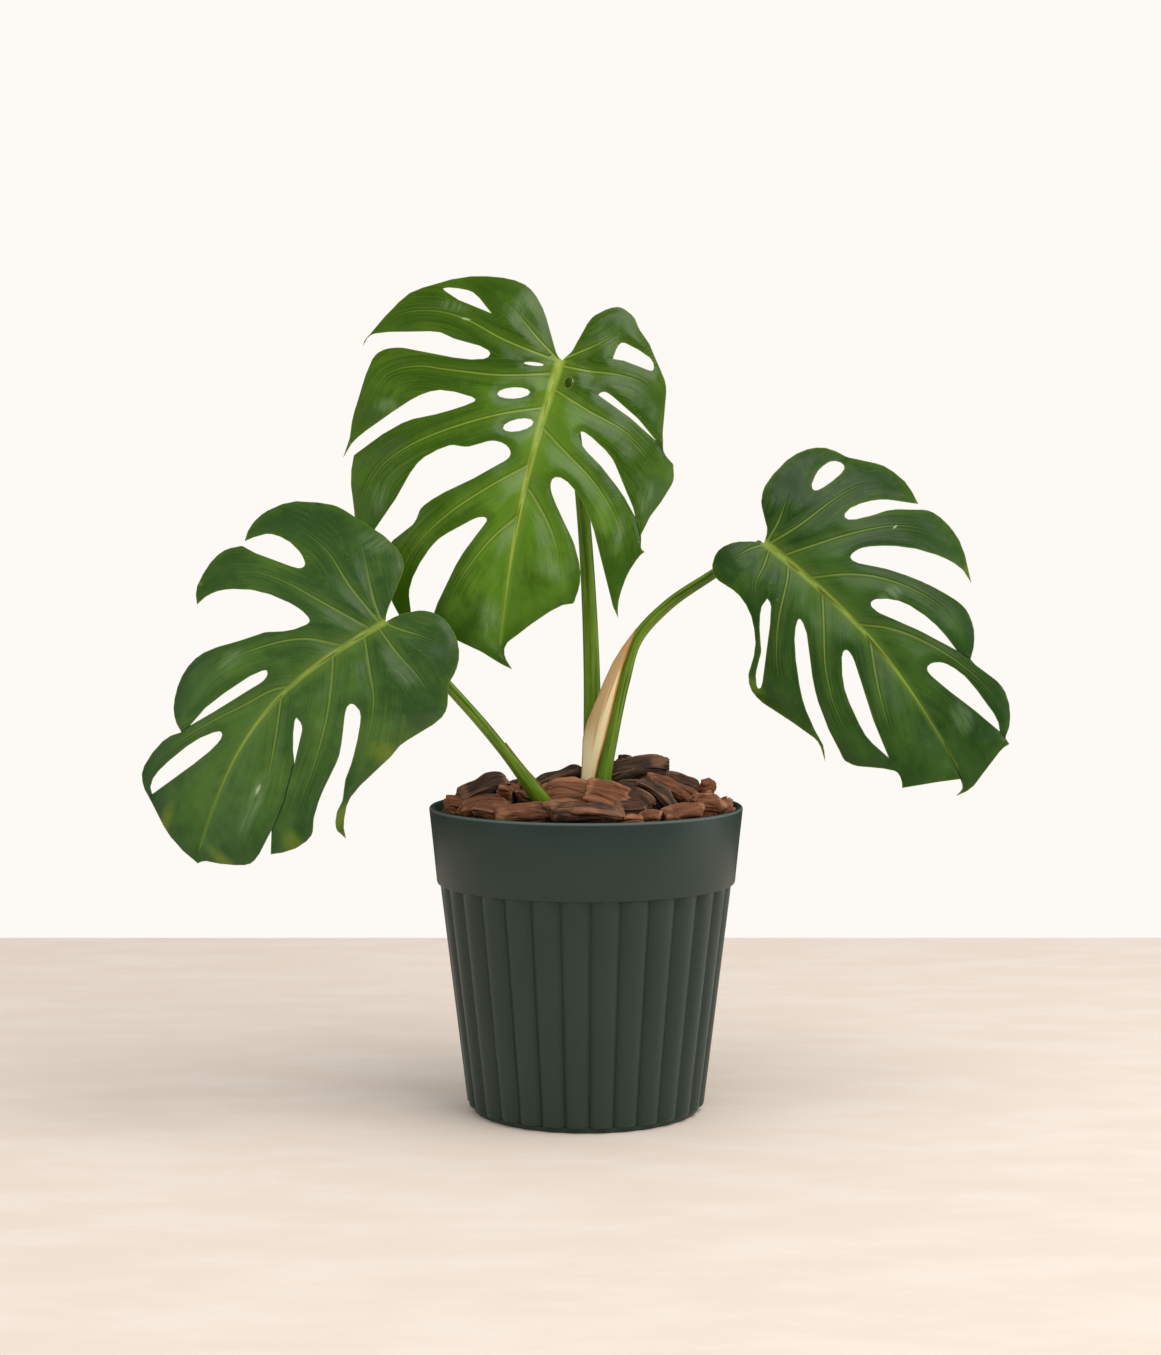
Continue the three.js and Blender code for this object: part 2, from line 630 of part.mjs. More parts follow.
function wingSolid() {
  const { foot, depth, lean, thickness } = WING;
  const [start, ...rest] = WING.outline;
  const shape = outline([[start], ...rest.map((point) => [point])]);
  return cutter(shape, depth - thickness / 2, depth + thickness / 2, (z) => lean * (z - foot));
}

// ---------- Dried sheath ----------

function sheathShape(extra) {
  const { foot, leftEdge, tip, rightEdge } = SHEATH;
  const left = leftEdge.map(([x, z]) => [x - extra, z]);
  const right = rightEdge.map(([x, z]) => [x + extra, z]);
  const footLeft = [left[0][0], foot - extra];
  const footRight = [right.at(-1)[0], foot - extra];
  return outline([[footLeft], [left[0]], [...left.slice(1), tip], right, [footRight], [footLeft]]);
}

function sheathSolid(extra = 0) {
  const blade = new Blade(SHEATH.form);
  const thin = sheet(blade, LEAF.thickness + 2 * extra, SHEATH.grid);
  return thin.intersect(cutter(sheathShape(extra), SIGHT.near, SIGHT.far));
}

// ---------- Pot, soil and bark ----------

// The wall's radius inside the pot at a height.
function insideRadius(height) {
  const { brim, shoulder, neck, bottom } = INSIDE;
  const [low, high] = height > shoulder.height ? [shoulder, brim]
    : height > neck.height ? [neck, shoulder] : [bottom, neck];
  const t = (height - low.height) / (high.height - low.height);
  return THREE.MathUtils.lerp(low.radius, high.radius, t);
}

function potGeometry() {
  const { height, rimRadius, lip, lipRound, ledge, floor } = POT;
  const profile = [
    [0, 0],
    [POT.footRadius - 1, 0],
    [POT.footRadius, POT.footHeight],
    [POT.ribBottomRadius - POT.ribRelief, POT.footHeight + 1],
    [POT.ribBottomRadius, POT.ribBottom],
    [POT.ribTopRadius, POT.ribTop],
    [POT.bandBottomRadius - ledge.in, POT.bandBottom - ledge.below],
    [POT.bandBottomRadius, POT.bandBottom],
    [rimRadius, height - lipRound],
    [rimRadius - lipRound, height],
    [rimRadius - lip + lipRound, height],
    ...Object.values(INSIDE).map((ring) => [ring.radius, ring.height]),
    [0, floor],
  ];
  const ribbed = (v) => v.z > POT.ribBottom - 1 && v.z < POT.ribTop + 1
    && Math.hypot(v.x, v.y) > insideRadius(v.z) + 1;
  const geometry = moveVertices(turned(profile, POT.ribs * POT.sidesPerRib), (v) => {
    if (!ribbed(v)) return;
    const radius = Math.hypot(v.x, v.y);
    const acrossRib = (((Math.atan2(v.y, v.x) / (2 * Math.PI)) * POT.ribs) % 1 + 1) % 1;
    const fall = POT.ribRelief * (2 * acrossRib - 1) ** 2;
    v.multiply(new THREE.Vector3(1 - fall / radius, 1 - fall / radius, 1));
  });
  return geometry.rotateZ(THREE.MathUtils.degToRad(POT.firstGroove));
}

function soilSolid() {
  const bottom = POT.floor + GAP;
  const wallAt = (z) => [insideRadius(z) - GAP, z];
  const heights = [bottom, INSIDE.neck.height, INSIDE.shoulder.height, SOIL.top];
  const fill = solidOf(turned([[0, bottom], ...heights.map(wallAt), [0, SOIL.top]], SOIL.sides));
  return fill.subtract(crownSolid(GAP));
}

function crownSolid(extra = 0) {
  const { x, y, radius, round, bottom, sides } = CROWN;
  const profile = [
    [0, bottom - extra],
    [radius - round + extra, bottom - extra],
    [radius + extra, bottom + round],
    [radius + extra, SOIL.top + extra],
    [0, SOIL.top + extra],
  ];
  return solidOf(turned(profile, sides).translate(x, y, 0));
}

function barkTop(radius) {
  return THREE.MathUtils.lerp(BARK.middle, BARK.atWall, (radius / POT.rimRadius) ** 2);
}

function chip(at, size, turn, random) {
  const block = new THREE.BoxGeometry(1, 1, 1);
  const corner = new Map();
  moveVertices(block, (v) => {
    const key = `${v.x},${v.y},${v.z}`;
    if (!corner.has(key)) {
      const away = new THREE.Vector3(random() - 0.5, random() - 0.5, random() - 0.5);
      corner.set(key, away.multiplyScalar(2 * BARK.jitter));
    }
    v.add(corner.get(key));
  });
  block.scale(...size);
  block.rotateX(turn[0]).rotateY(turn[1]).rotateZ(turn[2]);
  block.translate(...at);
  return solidOf(block);
}

// The placed chips, and rings of strewn ones wherever no placed chip lies near.
function barkChips() {
  const random = seededRandom(BARK.seed);
  const between = ([low, high]) => THREE.MathUtils.lerp(low, high, random());
  const tilt = THREE.MathUtils.degToRad(BARK.tilt);
  const free = ([x, y]) => PLACED_CHIPS.every(({ at }) => Math.hypot(x - at[0], y - at[1]) > BARK.apart);
  const placed = PLACED_CHIPS.map(({ at, size, turn }) =>
    chip(at, size, turn.map(THREE.MathUtils.degToRad), random));
  const strewn = BARK.rings.flatMap(({ radius, chips }) => Array.from({ length: chips }, (_, i) => {
    const angle = ((i + BARK.spread * random()) / chips) * 2 * Math.PI;
    const out = radius + BARK.wander * (random() - 0.5);
    const at = [out * Math.cos(angle), out * Math.sin(angle), barkTop(out) + BARK.sink * (random() - 1)];
    const size = [between(BARK.length), between(BARK.width), between(BARK.thickness)];
    const turn = [tilt * (2 * random() - 1), tilt * (2 * random() - 1), Math.PI * random()];
    return free(at) ? [chip(at, size, turn, random)] : [];
  })).flat();
  return [...placed, ...strewn];
}

function barkSolid() {
  const bottom = SOIL.top + GAP;
  const reach = insideRadius(bottom) - GAP;
  const mound = BARK.mound.map((share) => [share * POT.rimRadius, barkTop(share * POT.rimRadius)]);
  const bed = solidOf(turned([[0, bottom], [reach, bottom], ...mound, [0, BARK.middle]], BARK.sides));
  const { height: brim } = INSIDE.brim;
  const room = solidOf(turned([
    [0, bottom],
    [reach, bottom],
    [insideRadius(brim) - 2 * GAP, brim],
    [insideRadius(brim) - BARK.ceilingInset, BARK.ceiling],
    [0, BARK.ceiling],
  ], BARK.sides));
  const heap = barkChips().reduce((all, one) => all.add(one), bed).intersect(room);
  const holes = [...Object.keys(STALKS).map((name) => stalkSolid(name, GAP)), sheathSolid(GAP)];
  return largestPiece(holes.reduce((rest, hole) => rest.subtract(hole), heap));
}

// ---------- The plant ----------

function stalkTo(name, leaf) {
  return largestPiece(stalkSolid(name).subtract(leafClearance(leaf)));
}

const plant = new THREE.Group();
plant.add(
  mesh('pot', geometryOf(solidOf(potGeometry())), MATERIALS.pot),
  mesh('soil', geometryOf(soilSolid()), MATERIALS.soil),
  mesh('bark_mulch', geometryOf(barkSolid()), MATERIALS.bark),
  mesh('stem_crown', geometryOf(crownSolid()), MATERIALS.stem),
  mesh('stalk_tall', geometryOf(stalkTo('stalk_tall', TALL_LEAF)), MATERIALS.stem),
  mesh('stalk_left', geometryOf(stalkTo('stalk_left', LEFT_LEAF).add(wingSolid())), MATERIALS.stem),
  mesh('stalk_right', geometryOf(stalkTo('stalk_right', RIGHT_LEAF)), MATERIALS.stem),
  mesh('leaf_tall', geometryOf(leafSolid(TALL_LEAF)), MATERIALS.youngLeaf),
  mesh('leaf_left', geometryOf(leafSolid(LEFT_LEAF)), MATERIALS.grownLeaf),
  mesh('leaf_right', geometryOf(leafSolid(RIGHT_LEAF)), MATERIALS.grownLeaf),
  mesh('dried_sheath', geometryOf(sheathSolid()), MATERIALS.sheath),
);

export default plant;
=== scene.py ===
"""The looks of a young split-leaf plant in a ribbed planter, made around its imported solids.

Lengths are worked in millimetres, +Z up, and a finished mesh is scaled to metres.
"""
from math import acos, atan2, copysign, cos, degrees, hypot, pi, radians, sin, sqrt
from types import SimpleNamespace

import bmesh
import bpy
import numpy as np
from bmesh import ops
from bmesh.types import BMEdge, BMFace, BMVert
from mathutils import Matrix, Vector, kdtree, noise
from mathutils.bvhtree import BVHTree


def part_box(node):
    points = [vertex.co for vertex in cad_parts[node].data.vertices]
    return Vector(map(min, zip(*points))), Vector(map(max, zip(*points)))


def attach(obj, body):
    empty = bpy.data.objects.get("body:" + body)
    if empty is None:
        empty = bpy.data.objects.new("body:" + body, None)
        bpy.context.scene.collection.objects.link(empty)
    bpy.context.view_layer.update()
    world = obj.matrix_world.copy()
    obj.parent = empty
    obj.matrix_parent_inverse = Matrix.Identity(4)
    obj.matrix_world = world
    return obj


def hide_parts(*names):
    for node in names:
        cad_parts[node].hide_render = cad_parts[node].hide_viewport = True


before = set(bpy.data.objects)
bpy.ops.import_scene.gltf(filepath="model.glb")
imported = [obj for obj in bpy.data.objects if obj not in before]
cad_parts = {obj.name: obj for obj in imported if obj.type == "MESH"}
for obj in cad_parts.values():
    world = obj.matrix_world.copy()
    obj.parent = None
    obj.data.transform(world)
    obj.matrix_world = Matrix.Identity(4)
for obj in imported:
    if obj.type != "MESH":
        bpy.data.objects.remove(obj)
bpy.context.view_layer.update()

bl_info = {
    "name": "Potted Split-Leaf Plant",
    "version": (1, 0, 0),
    "blender": (4, 5, 0),
    "location": "View3D > Sidebar > Plant",
    "description": "Dresses the solids of a potted split-leaf plant",
    "category": "Add Mesh",
}

MM = 0.001

# The camera stands level at EYE, and every drawn point of a leaf lies on the upright plane at y = 0.
EYE = Vector((-3.7, -1630.0, 380.0))
CAMERA_LENS = 64.56
CAMERA_SHIFT = -0.1016
SENSOR = 36.0
# What keeps the patterns of one sheet apart from those of another.
SHEET_APART = 40.0

# ---------- Sizes that the solids have too ----------

POT = SimpleNamespace(
    height=202.0, rim=105.0, lip=3.8, lip_round=1.6, band_low=152.4, band_radius=99.8,
    ribs=30, first_groove=7.65, relief=3.4, rib_top=148.5, top_radius=97.4, rib_low=6.5,
    low_radius=79.6, foot=75.5, foot_height=2.5, wall=2.9, floor=7.0,
)
SOIL_TOP = 172.0

STALKS = {
    "stalk_tall": [
        (4, 6, 164, 6.3), (4, 6, 215, 6.1), (4, 13, 286, 5.6), (1.5, 24, 350, 4.9),
        (-2, 31, 400, 4.5), (-7.5, 32, 452, 4.1), (-13, 23.5, 489, 3.8), (-16.8, 11, 503, 3.4),
    ],
    "stalk_right": [
        (10, -9.5, 164, 5.7), (11.6, -8, 219, 5.3), (17.1, -5, 250, 4.8), (25, 0, 286, 4.7),
        (34, 5, 313, 4.2), (56, 11, 336.5, 3.8), (84, 13, 355.5, 3.4),
        (108, 8, 371, 3.3), (120, -4, 379, 3.3),
    ],
    "stalk_left": [
        (-4, -5, 164, 6), (-16, -26, 191, 6.6), (-29.1, -40.5, 209.5, 5.7), (-48, -51, 236, 3.9),
        (-67.3, -60, 261, 3.6), (-88, -67, 285, 3.5), (-112, -75, 312, 3.4), (-130, -84, 326, 3.3),
    ],
}
# How many of a stalk's last rings end unseen behind its leaf.
STALK_TRIM = {"stalk_tall": 5, "stalk_right": 3, "stalk_left": 1}
WING = SimpleNamespace(
    foot=205.0, depth=-40.0, lean=-0.385, thickness=1.3,
    outline=[(-57, 243), (-53.6, 244), (-46.6, 234.9), (-39.1, 225.7), (-30.8, 216.5), (-25, 209.3),
             (-29, 208.3), (-36, 217), (-51, 235)],
)

BARK = SimpleNamespace(
    middle=207.0, at_wall=190.0, ceiling=245.0, jitter=0.2, apart=17.0, seed=11,
    rings=[(18, 3), (38, 7), (57, 10), (75, 13), (90, 17)],
    length=(24, 36), width=(15, 22), thickness=(10, 15),
)
# Centre, size, turns in degrees, tone from fresh 0 to weathered 1, and how far the chip is arched.
PLACED_CHIPS = [
    ((-86, -38, 206.5), (14, 11, 9), (20, 15, 30), 0.35, 1),
    ((-66, -20, 214.5), (30, 17, 11), (30, -14, 10), 0.95, 3),
    ((-51.5, -24, 212), (9, 12, 14), (10, 12, -20), 0.2, 0),
    ((-66, -50, 207), (32, 12, 8), (30, -6, 12), 0.35, 4),
    ((-64, -64, 204.5), (17, 12, 9), (20, 12, -15), 0.45, 1),
    ((-46, 0, 212), (19, 15, 13), (15, -20, 20), 0.75, 1),
    ((-40, -28, 210), (14, 11, 9), (25, 12, 0), 0.5, 0),
    ((-18.5, 12, 218.5), (38, 12, 9), (20, -17, -6), 0.85, 2),
    ((-22, -20, 213.5), (16, 9, 7), (10, -36, 0), 0.15, 1),
    ((-11, -34, 211.5), (33, 20, 10), (38, 5, 5), 0.12, 3),
    ((-32, -81, 205.5), (52, 12, 9), (25, 2, 3), 0.45, 1),
    ((-1, -86, 205.5), (44, 12, 9), (18, 4, -4), 0.65, 2),
    ((14.5, -56, 212), (27, 20, 13), (35, 14, -20), 0.05, 1),
    ((28, -90, 202.5), (14, 9, 7), (15, 0, 5), 0.2, 1),
    ((41, -85, 202.5), (14, 9, 7), (15, -8, -5), 0.15, 1),
    ((28.5, 4, 222.3), (43, 15, 12), (25, -12, 6), 0.85, 3),
    ((24.8, 16, 222.5), (15, 14, 24), (10, 12, 10), 0.7, 1),
    ((34.5, -62, 210.5), (22, 12, 8), (35, 25, -10), 0.6, 5),
    ((30, -71, 205.5), (16, 12, 10), (20, -10, 10), 0.75, 0),
    ((46, -46, 211.5), (36, 11, 9), (20, 38, -10), 0.85, 5),
    ((56.5, -22, 212.5), (36, 15, 10), (35, 25, 0), 0.35, 2),
    ((64, 4, 213.5), (30, 15, 10), (25, 24, 5), 0.6, 2),
    ((80.5, -10, 213), (8.5, 9, 18), (5, 8, 30), 0.1, 0),
    ((78, -38, 205.5), (19, 13, 10), (25, 5, 20), 0.2, 1),
    ((89, -28, 203), (15, 12, 10), (20, -12, 35), 0.25, 0),
    ((64, -66, 203), (26, 13, 10), (20, -6, 20), 0.12, 1),
    ((53, -78, 201.5), (12, 10, 8), (15, 0, 30), 0.4, 0),
    ((30, -20, 213), (22, 14, 10), (20, 5, 10), 0.9, 0),
]

# How each leaf hangs, as in its solid, with its lateral veins drawn from the midrib outwards.
LEAVES = {
    "leaf_tall": {
        "form": {"base": (-17.5, 499.5), "end": (-58, 305), "bow": -6, "depth": 8, "lean": 0.42, "hang": 0.12,
                 "tilt": 0.03, "edge": 27, "swell": 5, "half": 110},
        "rib": (3.3, 0.35), "seed": 3,
        "creases": [((33, 396), (37, 379)), ((47, 446.5), (53.5, 436.5))],
        "marks": {
            # Pale patches of painted sheen.
            "dust_and_sheen": [(-43.6, 535.6, 17, 9), (-64.4, 327.6, 20, 10), (22, 384, 20, 6), (39.6, 408, 16, 7),
                      (-133.5, 470, 7, 12), (-89, 537, 5, 15), (-138.6, 408, 14, 7)],
            "pale": [(-80.5, 528.2, 1.2, 4.5)],
        },
        "veins": [
            [(-20, 502), (-34, 517), (-47.5, 533.5), (-59, 543.5)],
            [(-20, 500.5), (-37.5, 507), (-57.5, 515.5), (-80.5, 528), (-101.5, 533.5), (-125, 531),
             (-146, 512)],
            [(-24, 491.5), (-57.5, 490.5), (-91, 494), (-114.5, 496.5), (-135, 490), (-152, 455)],
            [(-29, 468.5), (-54.5, 465), (-88, 456), (-118, 443.5), (-138, 428.5), (-149, 407), (-153, 375)],
            [(-38, 430.5), (-61, 418), (-91, 398.5), (-114.5, 375.5), (-125.5, 350), (-124, 333)],
            [(-45.5, 396.5), (-64.5, 379.5), (-84.5, 353), (-94.5, 331.5)],
            [(-15, 501.5), (-4, 506), (9.5, 512), (26, 522)],
            [(-15.5, 496.5), (2.5, 493), (23, 490.5), (39.5, 484), (47, 470.5)],
            [(-20, 480), (2.5, 466), (25.5, 453), (41.5, 437), (52.5, 421.5)],
            [(-30, 456), (-10.5, 435.5), (4, 420), (19, 396.5), (25, 376.5), (25.5, 360)],
            [(-38, 413.5), (-27.5, 395.5), (-20, 376.5), (-17, 350)],
        ],
    },
    "leaf_left": {
        "form": {"base": (-135.5, 324.5), "end": (-261, 167.5), "bow": -24.5, "depth": -86, "lean": 0.24,
                 "hang": 0.08, "tilt": -0.26, "edge": 20, "swell": 5, "half": 95},
        "rib": (2.6, 0.3), "seed": 8,
        "creases": [((-196.5, 229), (-202.5, 205)), ((-202.5, 205), (-211.3, 183)),
                    ((-265.5, 255.5), (-271.5, 251)), ((-291, 209.5), (-292.5, 206))],
        "marks": {
            # Pale patches, partly dust and partly painted sheen.
            "dust_and_sheen": [(-223.7, 202.2, 32, 8), (-220.8, 211, 7, 3), (-141.5, 378.3, 12, 14),
                      (-238.4, 299, 14, 8)],
            "pale": [(-220, 212.5, 5, 1.6)],
            "yellow": [(-258.9, 350.5, 2.5, 2.5), (-282.4, 190.8, 18, 6), (-197.3, 177.3, 10, 12),
                       (-165, 193.5, 16, 7), (-135.7, 237.4, 12, 14), (-244.3, 165.5, 6, 18)],
            "brown": [(-129.8, 249.2, 5, 4)],
        },
        "veins": [
            [(-137.5, 326.5), (-142, 338.5), (-145.5, 353), (-148, 366.5), (-153, 385.5)],
            [(-139.5, 325.5), (-158.5, 349), (-173.5, 372), (-188.5, 384.5), (-206.5, 391.5)],
            [(-147, 321.5), (-178.5, 339), (-202.5, 352), (-222.5, 358.5), (-247, 357)],
            [(-165.5, 309.5), (-186.5, 313.5), (-205.5, 311.5), (-235, 301.5), (-257, 287.5),
             (-265.5, 272.5)],
            [(-198.5, 281.5), (-209.5, 279.5), (-228.5, 269.5), (-258.5, 254), (-281.5, 238), (-291, 222.5)],
            [(-134, 323.5), (-123.5, 319.5), (-111.5, 316), (-97.5, 311)],
            [(-139, 320.5), (-126, 303), (-114, 290), (-102.5, 272.5)],
            [(-149, 317), (-145, 291.5), (-142.5, 274.5), (-145, 252.5), (-153, 224.5)],
            [(-169.5, 303), (-171, 280.5), (-174.5, 258), (-182.5, 229), (-193, 199), (-197, 180)],
            [(-204.5, 274), (-208, 249), (-213.5, 219), (-221.5, 191)],
        ],
    },
    "leaf_right": {
        "form": {"base": (120, 378), "end": (252, 222.5), "bow": 12.3, "depth": -8, "lean": 0.2, "hang": 0.06,
                 "tilt": 0.24, "edge": 18, "swell": 5, "half": 85},
        "rib": (2.9, 0.3), "seed": 14,
        "creases": [((240.8, 242.8), (252.2, 219)), ((277.5, 251.5), (282, 246.5)),
                    ((248.5, 306), (258, 300)), ((171.5, 431.5), (176.5, 436))],
        "marks": {
            # Pale patches of painted sheen.
            "dust_and_sheen": [(203.7, 342.6, 8, 16), (252.2, 260, 14, 10)],
            "pale": [(207.3, 388.7, 1, 2.5)],
            "yellow": [(128.1, 339.7, 1.2, 1.2), (112.6, 282.7, 12, 5), (256.5, 359.6, 6, 4)],
        },
        "veins": [
            [(122, 380), (129, 392), (132, 400), (137.5, 415)],
            [(125, 378.5), (143.5, 390), (167.5, 408), (185, 417), (205.5, 419.5)],
            [(134, 370), (153, 376.5), (177, 384), (208, 389.5), (231, 385.5), (247.5, 372)],
            [(151, 354.5), (177, 357), (200, 354), (227.5, 342.5), (249, 325), (255, 311)],
            [(184, 323), (204, 320.5), (227.5, 311.5), (255, 294), (275.5, 272.5), (280.5, 258)],
            [(118.5, 376.5), (110, 374), (96.5, 366.5)],
            [(123, 374), (119.5, 363), (114.5, 352.5), (113, 338)],
            [(136, 365), (135, 353), (130, 331), (128, 313), (129, 289.5), (138, 269.5)],
            [(158.5, 345), (159.5, 323), (161, 292), (169, 262.5), (185, 235.5)],
            [(190.5, 313), (194, 291.5), (198, 272.5), (207.5, 239)],
        ],
    },
    "dried_sheath": {
        "form": {"base": (1, 205), "end": (33.9, 321.1), "bow": 6.5, "depth": -10.5, "lean": -0.04, "hang": 0,
                 "tilt": 0.2, "edge": 1.5, "swell": 0, "half": 7},
        "rib": (0, 0), "seed": 5, "veins": [], "creases": [],
    },
}


# ---------- What a user may change ----------

def colour_choice(name, description, default):
    return bpy.props.FloatVectorProperty(
        name=name, description=description, default=default, size=3, min=0.0, max=1.0, subtype="COLOR")


def length_choice(name, description, default):
    return bpy.props.FloatProperty(
        name=name, description=description, default=default, min=0.0, subtype="DISTANCE", unit="LENGTH")


def amount_choice(name, description, default, unit="NONE"):
    return bpy.props.FloatProperty(name=name, description=description, default=default, min=0.0, unit=unit)


class PlanterChoices(bpy.types.PropertyGroup):
    plastic: colour_choice("Plastic", "Colour of the planter", (0.018, 0.037, 0.028))
    relief: length_choice("Rib relief", "How deep the grooves between ribs are", POT.relief * MM)


class BarkChoices(bpy.types.PropertyGroup):
    red: colour_choice("Red bark", "Colour of the fresher chips", (0.2, 0.078, 0.036))
    grey: colour_choice("Grey bark", "Colour of the weathered chips", (0.062, 0.036, 0.024))
    grain: length_choice("Grain depth", "How deep the fibres of a chip stand", 0.0006)


class StalkChoices(bpy.types.PropertyGroup):
    green: colour_choice("Green", "Lighter green of a stalk", (0.19, 0.31, 0.014))
    shade: colour_choice("Streaks", "Darker green of its streaks", (0.065, 0.15, 0.005))
    grown: colour_choice("Grown green", "Green of the two side stalks", (0.15, 0.265, 0.01))


class LeafChoices(bpy.types.PropertyGroup):
    young: colour_choice("Young leaf", "Green of the tall leaf", (0.085, 0.2, 0.006))
    young_deep: colour_choice("Young leaf, deep", "Its darker green", (0.03, 0.085, 0.0015))
    grown: colour_choice("Grown leaf", "Green of the side leaves", (0.046, 0.122, 0.013))
    grown_deep: colour_choice("Grown leaf, deep", "Their darker green", (0.016, 0.058, 0.007))
    vein: colour_choice("Veins", "Colour of the midrib", (0.31, 0.41, 0.045))
    under: colour_choice("Underside", "Colour of the back of a leaf", (0.13, 0.24, 0.055))
    thickness: length_choice("Thickness", "Thickness of a blade", 0.0007)
    quilting: length_choice("Quilting", "How far a blade swells between veins", 0.0029)


class SheathChoices(bpy.types.PropertyGroup):
    cream: colour_choice("Cream", "Colour of the dry middle", (0.93, 0.8, 0.46))
    edge: colour_choice("Edge", "Colour of the browned edges", (0.42, 0.17, 0.035))


class StageChoices(bpy.types.PropertyGroup):
    floor: colour_choice("Floor", "Colour of the floor", (0.95, 0.84, 0.745))
    air: colour_choice("Air", "Colour of the room behind", (0.985, 0.955, 0.912))
    around: amount_choice("Room light", "Strength of the light all round", 0.74)
    gleam: amount_choice("Room gleam", "Strength of the room in gloss", 0.07)
    key: amount_choice("Key light", "Power of the big softbox", 23.0, "POWER")
    side: amount_choice("Side light", "Power of the right softbox", 5.0, "POWER")
    fill: amount_choice("Fill light", "Power of the left softbox", 3.0, "POWER")


# ---------- Materials ----------

class Value:
    """A number, colour or direction that varies over a surface; numbers take plain arithmetic."""

    def __init__(self, finish, socket):
        self.finish = finish
        self.socket = socket

    def math(self, operation, first, second):
        return self.finish.node("ShaderNodeMath", {"operation": operation}, {0: first, 1: second})

    def __abs__(self):
        return self.math("ABSOLUTE", self, 0.0)

    def rise(self, low, high):
        """Goes smoothly from 0 at low to 1 at high, or falls where high is the smaller."""
        if low > high:
            return 1.0 - self.rise(high, low)
        return self.finish.node("ShaderNodeMapRange", {"interpolation_type": "SMOOTHSTEP"},
                                {0: self, 1: low, 2: high, 3: 0.0, 4: 1.0})

    def scaled(self, x, y=None, z=None):
        shares = (x, y or x, z or x)
        return self.finish.node("ShaderNodeVectorMath", {"operation": "MULTIPLY"}, {0: self, 1: shares})

    def parts(self):
        split = self.finish.node("ShaderNodeSeparateXYZ", inputs={0: self}).socket.node
        return [Value(self.finish, socket) for socket in split.outputs]

    def noise(self, scale=1.0, detail=2.0, roughness=0.5, distortion=0.0):
        return self.finish.node("ShaderNodeTexNoise", inputs={
            "Vector": self, "Scale": scale, "Detail": detail, "Roughness": roughness,
            "Distortion": distortion})


def overload(name, operation):
    """Gives Value one of Python's signs, with a Value on either side of it."""
    setattr(Value, f"__{name}__", lambda self, other: self.math(operation, self, other))
    setattr(Value, f"__r{name}__", lambda self, other: self.math(operation, other, self))


for sign, operation in (("add", "ADD"), ("sub", "SUBTRACT"), ("mul", "MULTIPLY"), ("truediv", "DIVIDE"),
                        ("pow", "POWER")):
    overload(sign, operation)


class Finish:
    """One material and the nodes that make it; colours are painted one over the other on its base."""

    def __init__(self, name, **constants):
        self.material = bpy.data.materials.new(name)
        self.material.use_nodes = True
        self.tree = self.material.node_tree
        self.shader = self.tree.nodes["Principled BSDF"]
        for socket, value in constants.items():
            self.shader.inputs[socket.replace("_", " ")].default_value = value

    def node(self, kind, settings=None, inputs=None, output=0):
        made = self.tree.nodes.new(kind)
        for name, value in (settings or {}).items():
            setattr(made, name, value)
        for name, value in (inputs or {}).items():
            if isinstance(value, Value):
                self.tree.links.new(value.socket, made.inputs[name])
            elif isinstance(value, tuple) and len(made.inputs[name].default_value) == 4:
                made.inputs[name].default_value = (*value, 1.0)
            else:
                made.inputs[name].default_value = value
        return Value(self, made.outputs[output])

    def attributes(self, *names):
        return [self.node("ShaderNodeAttribute", {"attribute_name": name}, output=2) for name in names]

    def lay(self):
        """Where a point lies on the flat or straight form of its piece, in millimetres."""
        return self.node("ShaderNodeAttribute", {"attribute_name": "lay"}, output=1)

    def here(self, x=1 / MM, y=None, z=None):
        return self.node("ShaderNodeTexCoord", output=3).scaled(x, y, z)

    def streaks(self, along, across, scale_along, scale_across, roughness=0.5, detail=3.0):
        """Noise that is drawn out along one measure of the surface."""
        place = self.node("ShaderNodeCombineXYZ", inputs={0: across * scale_across, 1: along * scale_along})
        return place.noise(1.0, detail, roughness)

    def mixed(self, share, first, second):
        return self.node("ShaderNodeMix", {"data_type": "RGBA"}, {0: share, 6: first, 7: second}, 2)

    def paint(self, share, colour):
        self.base = self.mixed(share, self.base, colour)

    def marked(self, lay, node, kind):
        """1 at each place that a leaf's marks name, falling to 0 at its reach down and across the leaf."""
        plan = LEAVES[node]
        total = 0.0
        for x, z, along, across in plan["marks"].get(kind, ()):
            middle = (*Blade(plan["form"]).unfolded(x, z), SHEET_APART * plan["seed"])
            away = self.node("ShaderNodeVectorMath", {"operation": "SUBTRACT"}, {0: lay, 1: middle})
            length = self.node("ShaderNodeVectorMath", {"operation": "LENGTH"},
                               {0: away.scaled(1 / along, 1 / across, 1.0)}, 1)
            total = length.rise(1.0, 0.2) + total
        return total

    def done(self, relief=None, roughness=None):
        """Links what varies to the shader; relief is a height in millimetres, shown by the shading."""
        bump = relief and self.node(
            "ShaderNodeBump", inputs={"Strength": 1.0, "Distance": MM, "Height": relief})
        for socket, value in (("Base Color", self.base), ("Roughness", roughness), ("Normal", bump)):
            if value:
                self.tree.links.new(value.socket, self.shader.inputs[socket])
        return self.material


def tinted(colour, *shares):
    return tuple(part * share for part, share in zip(colour, shares * 3))


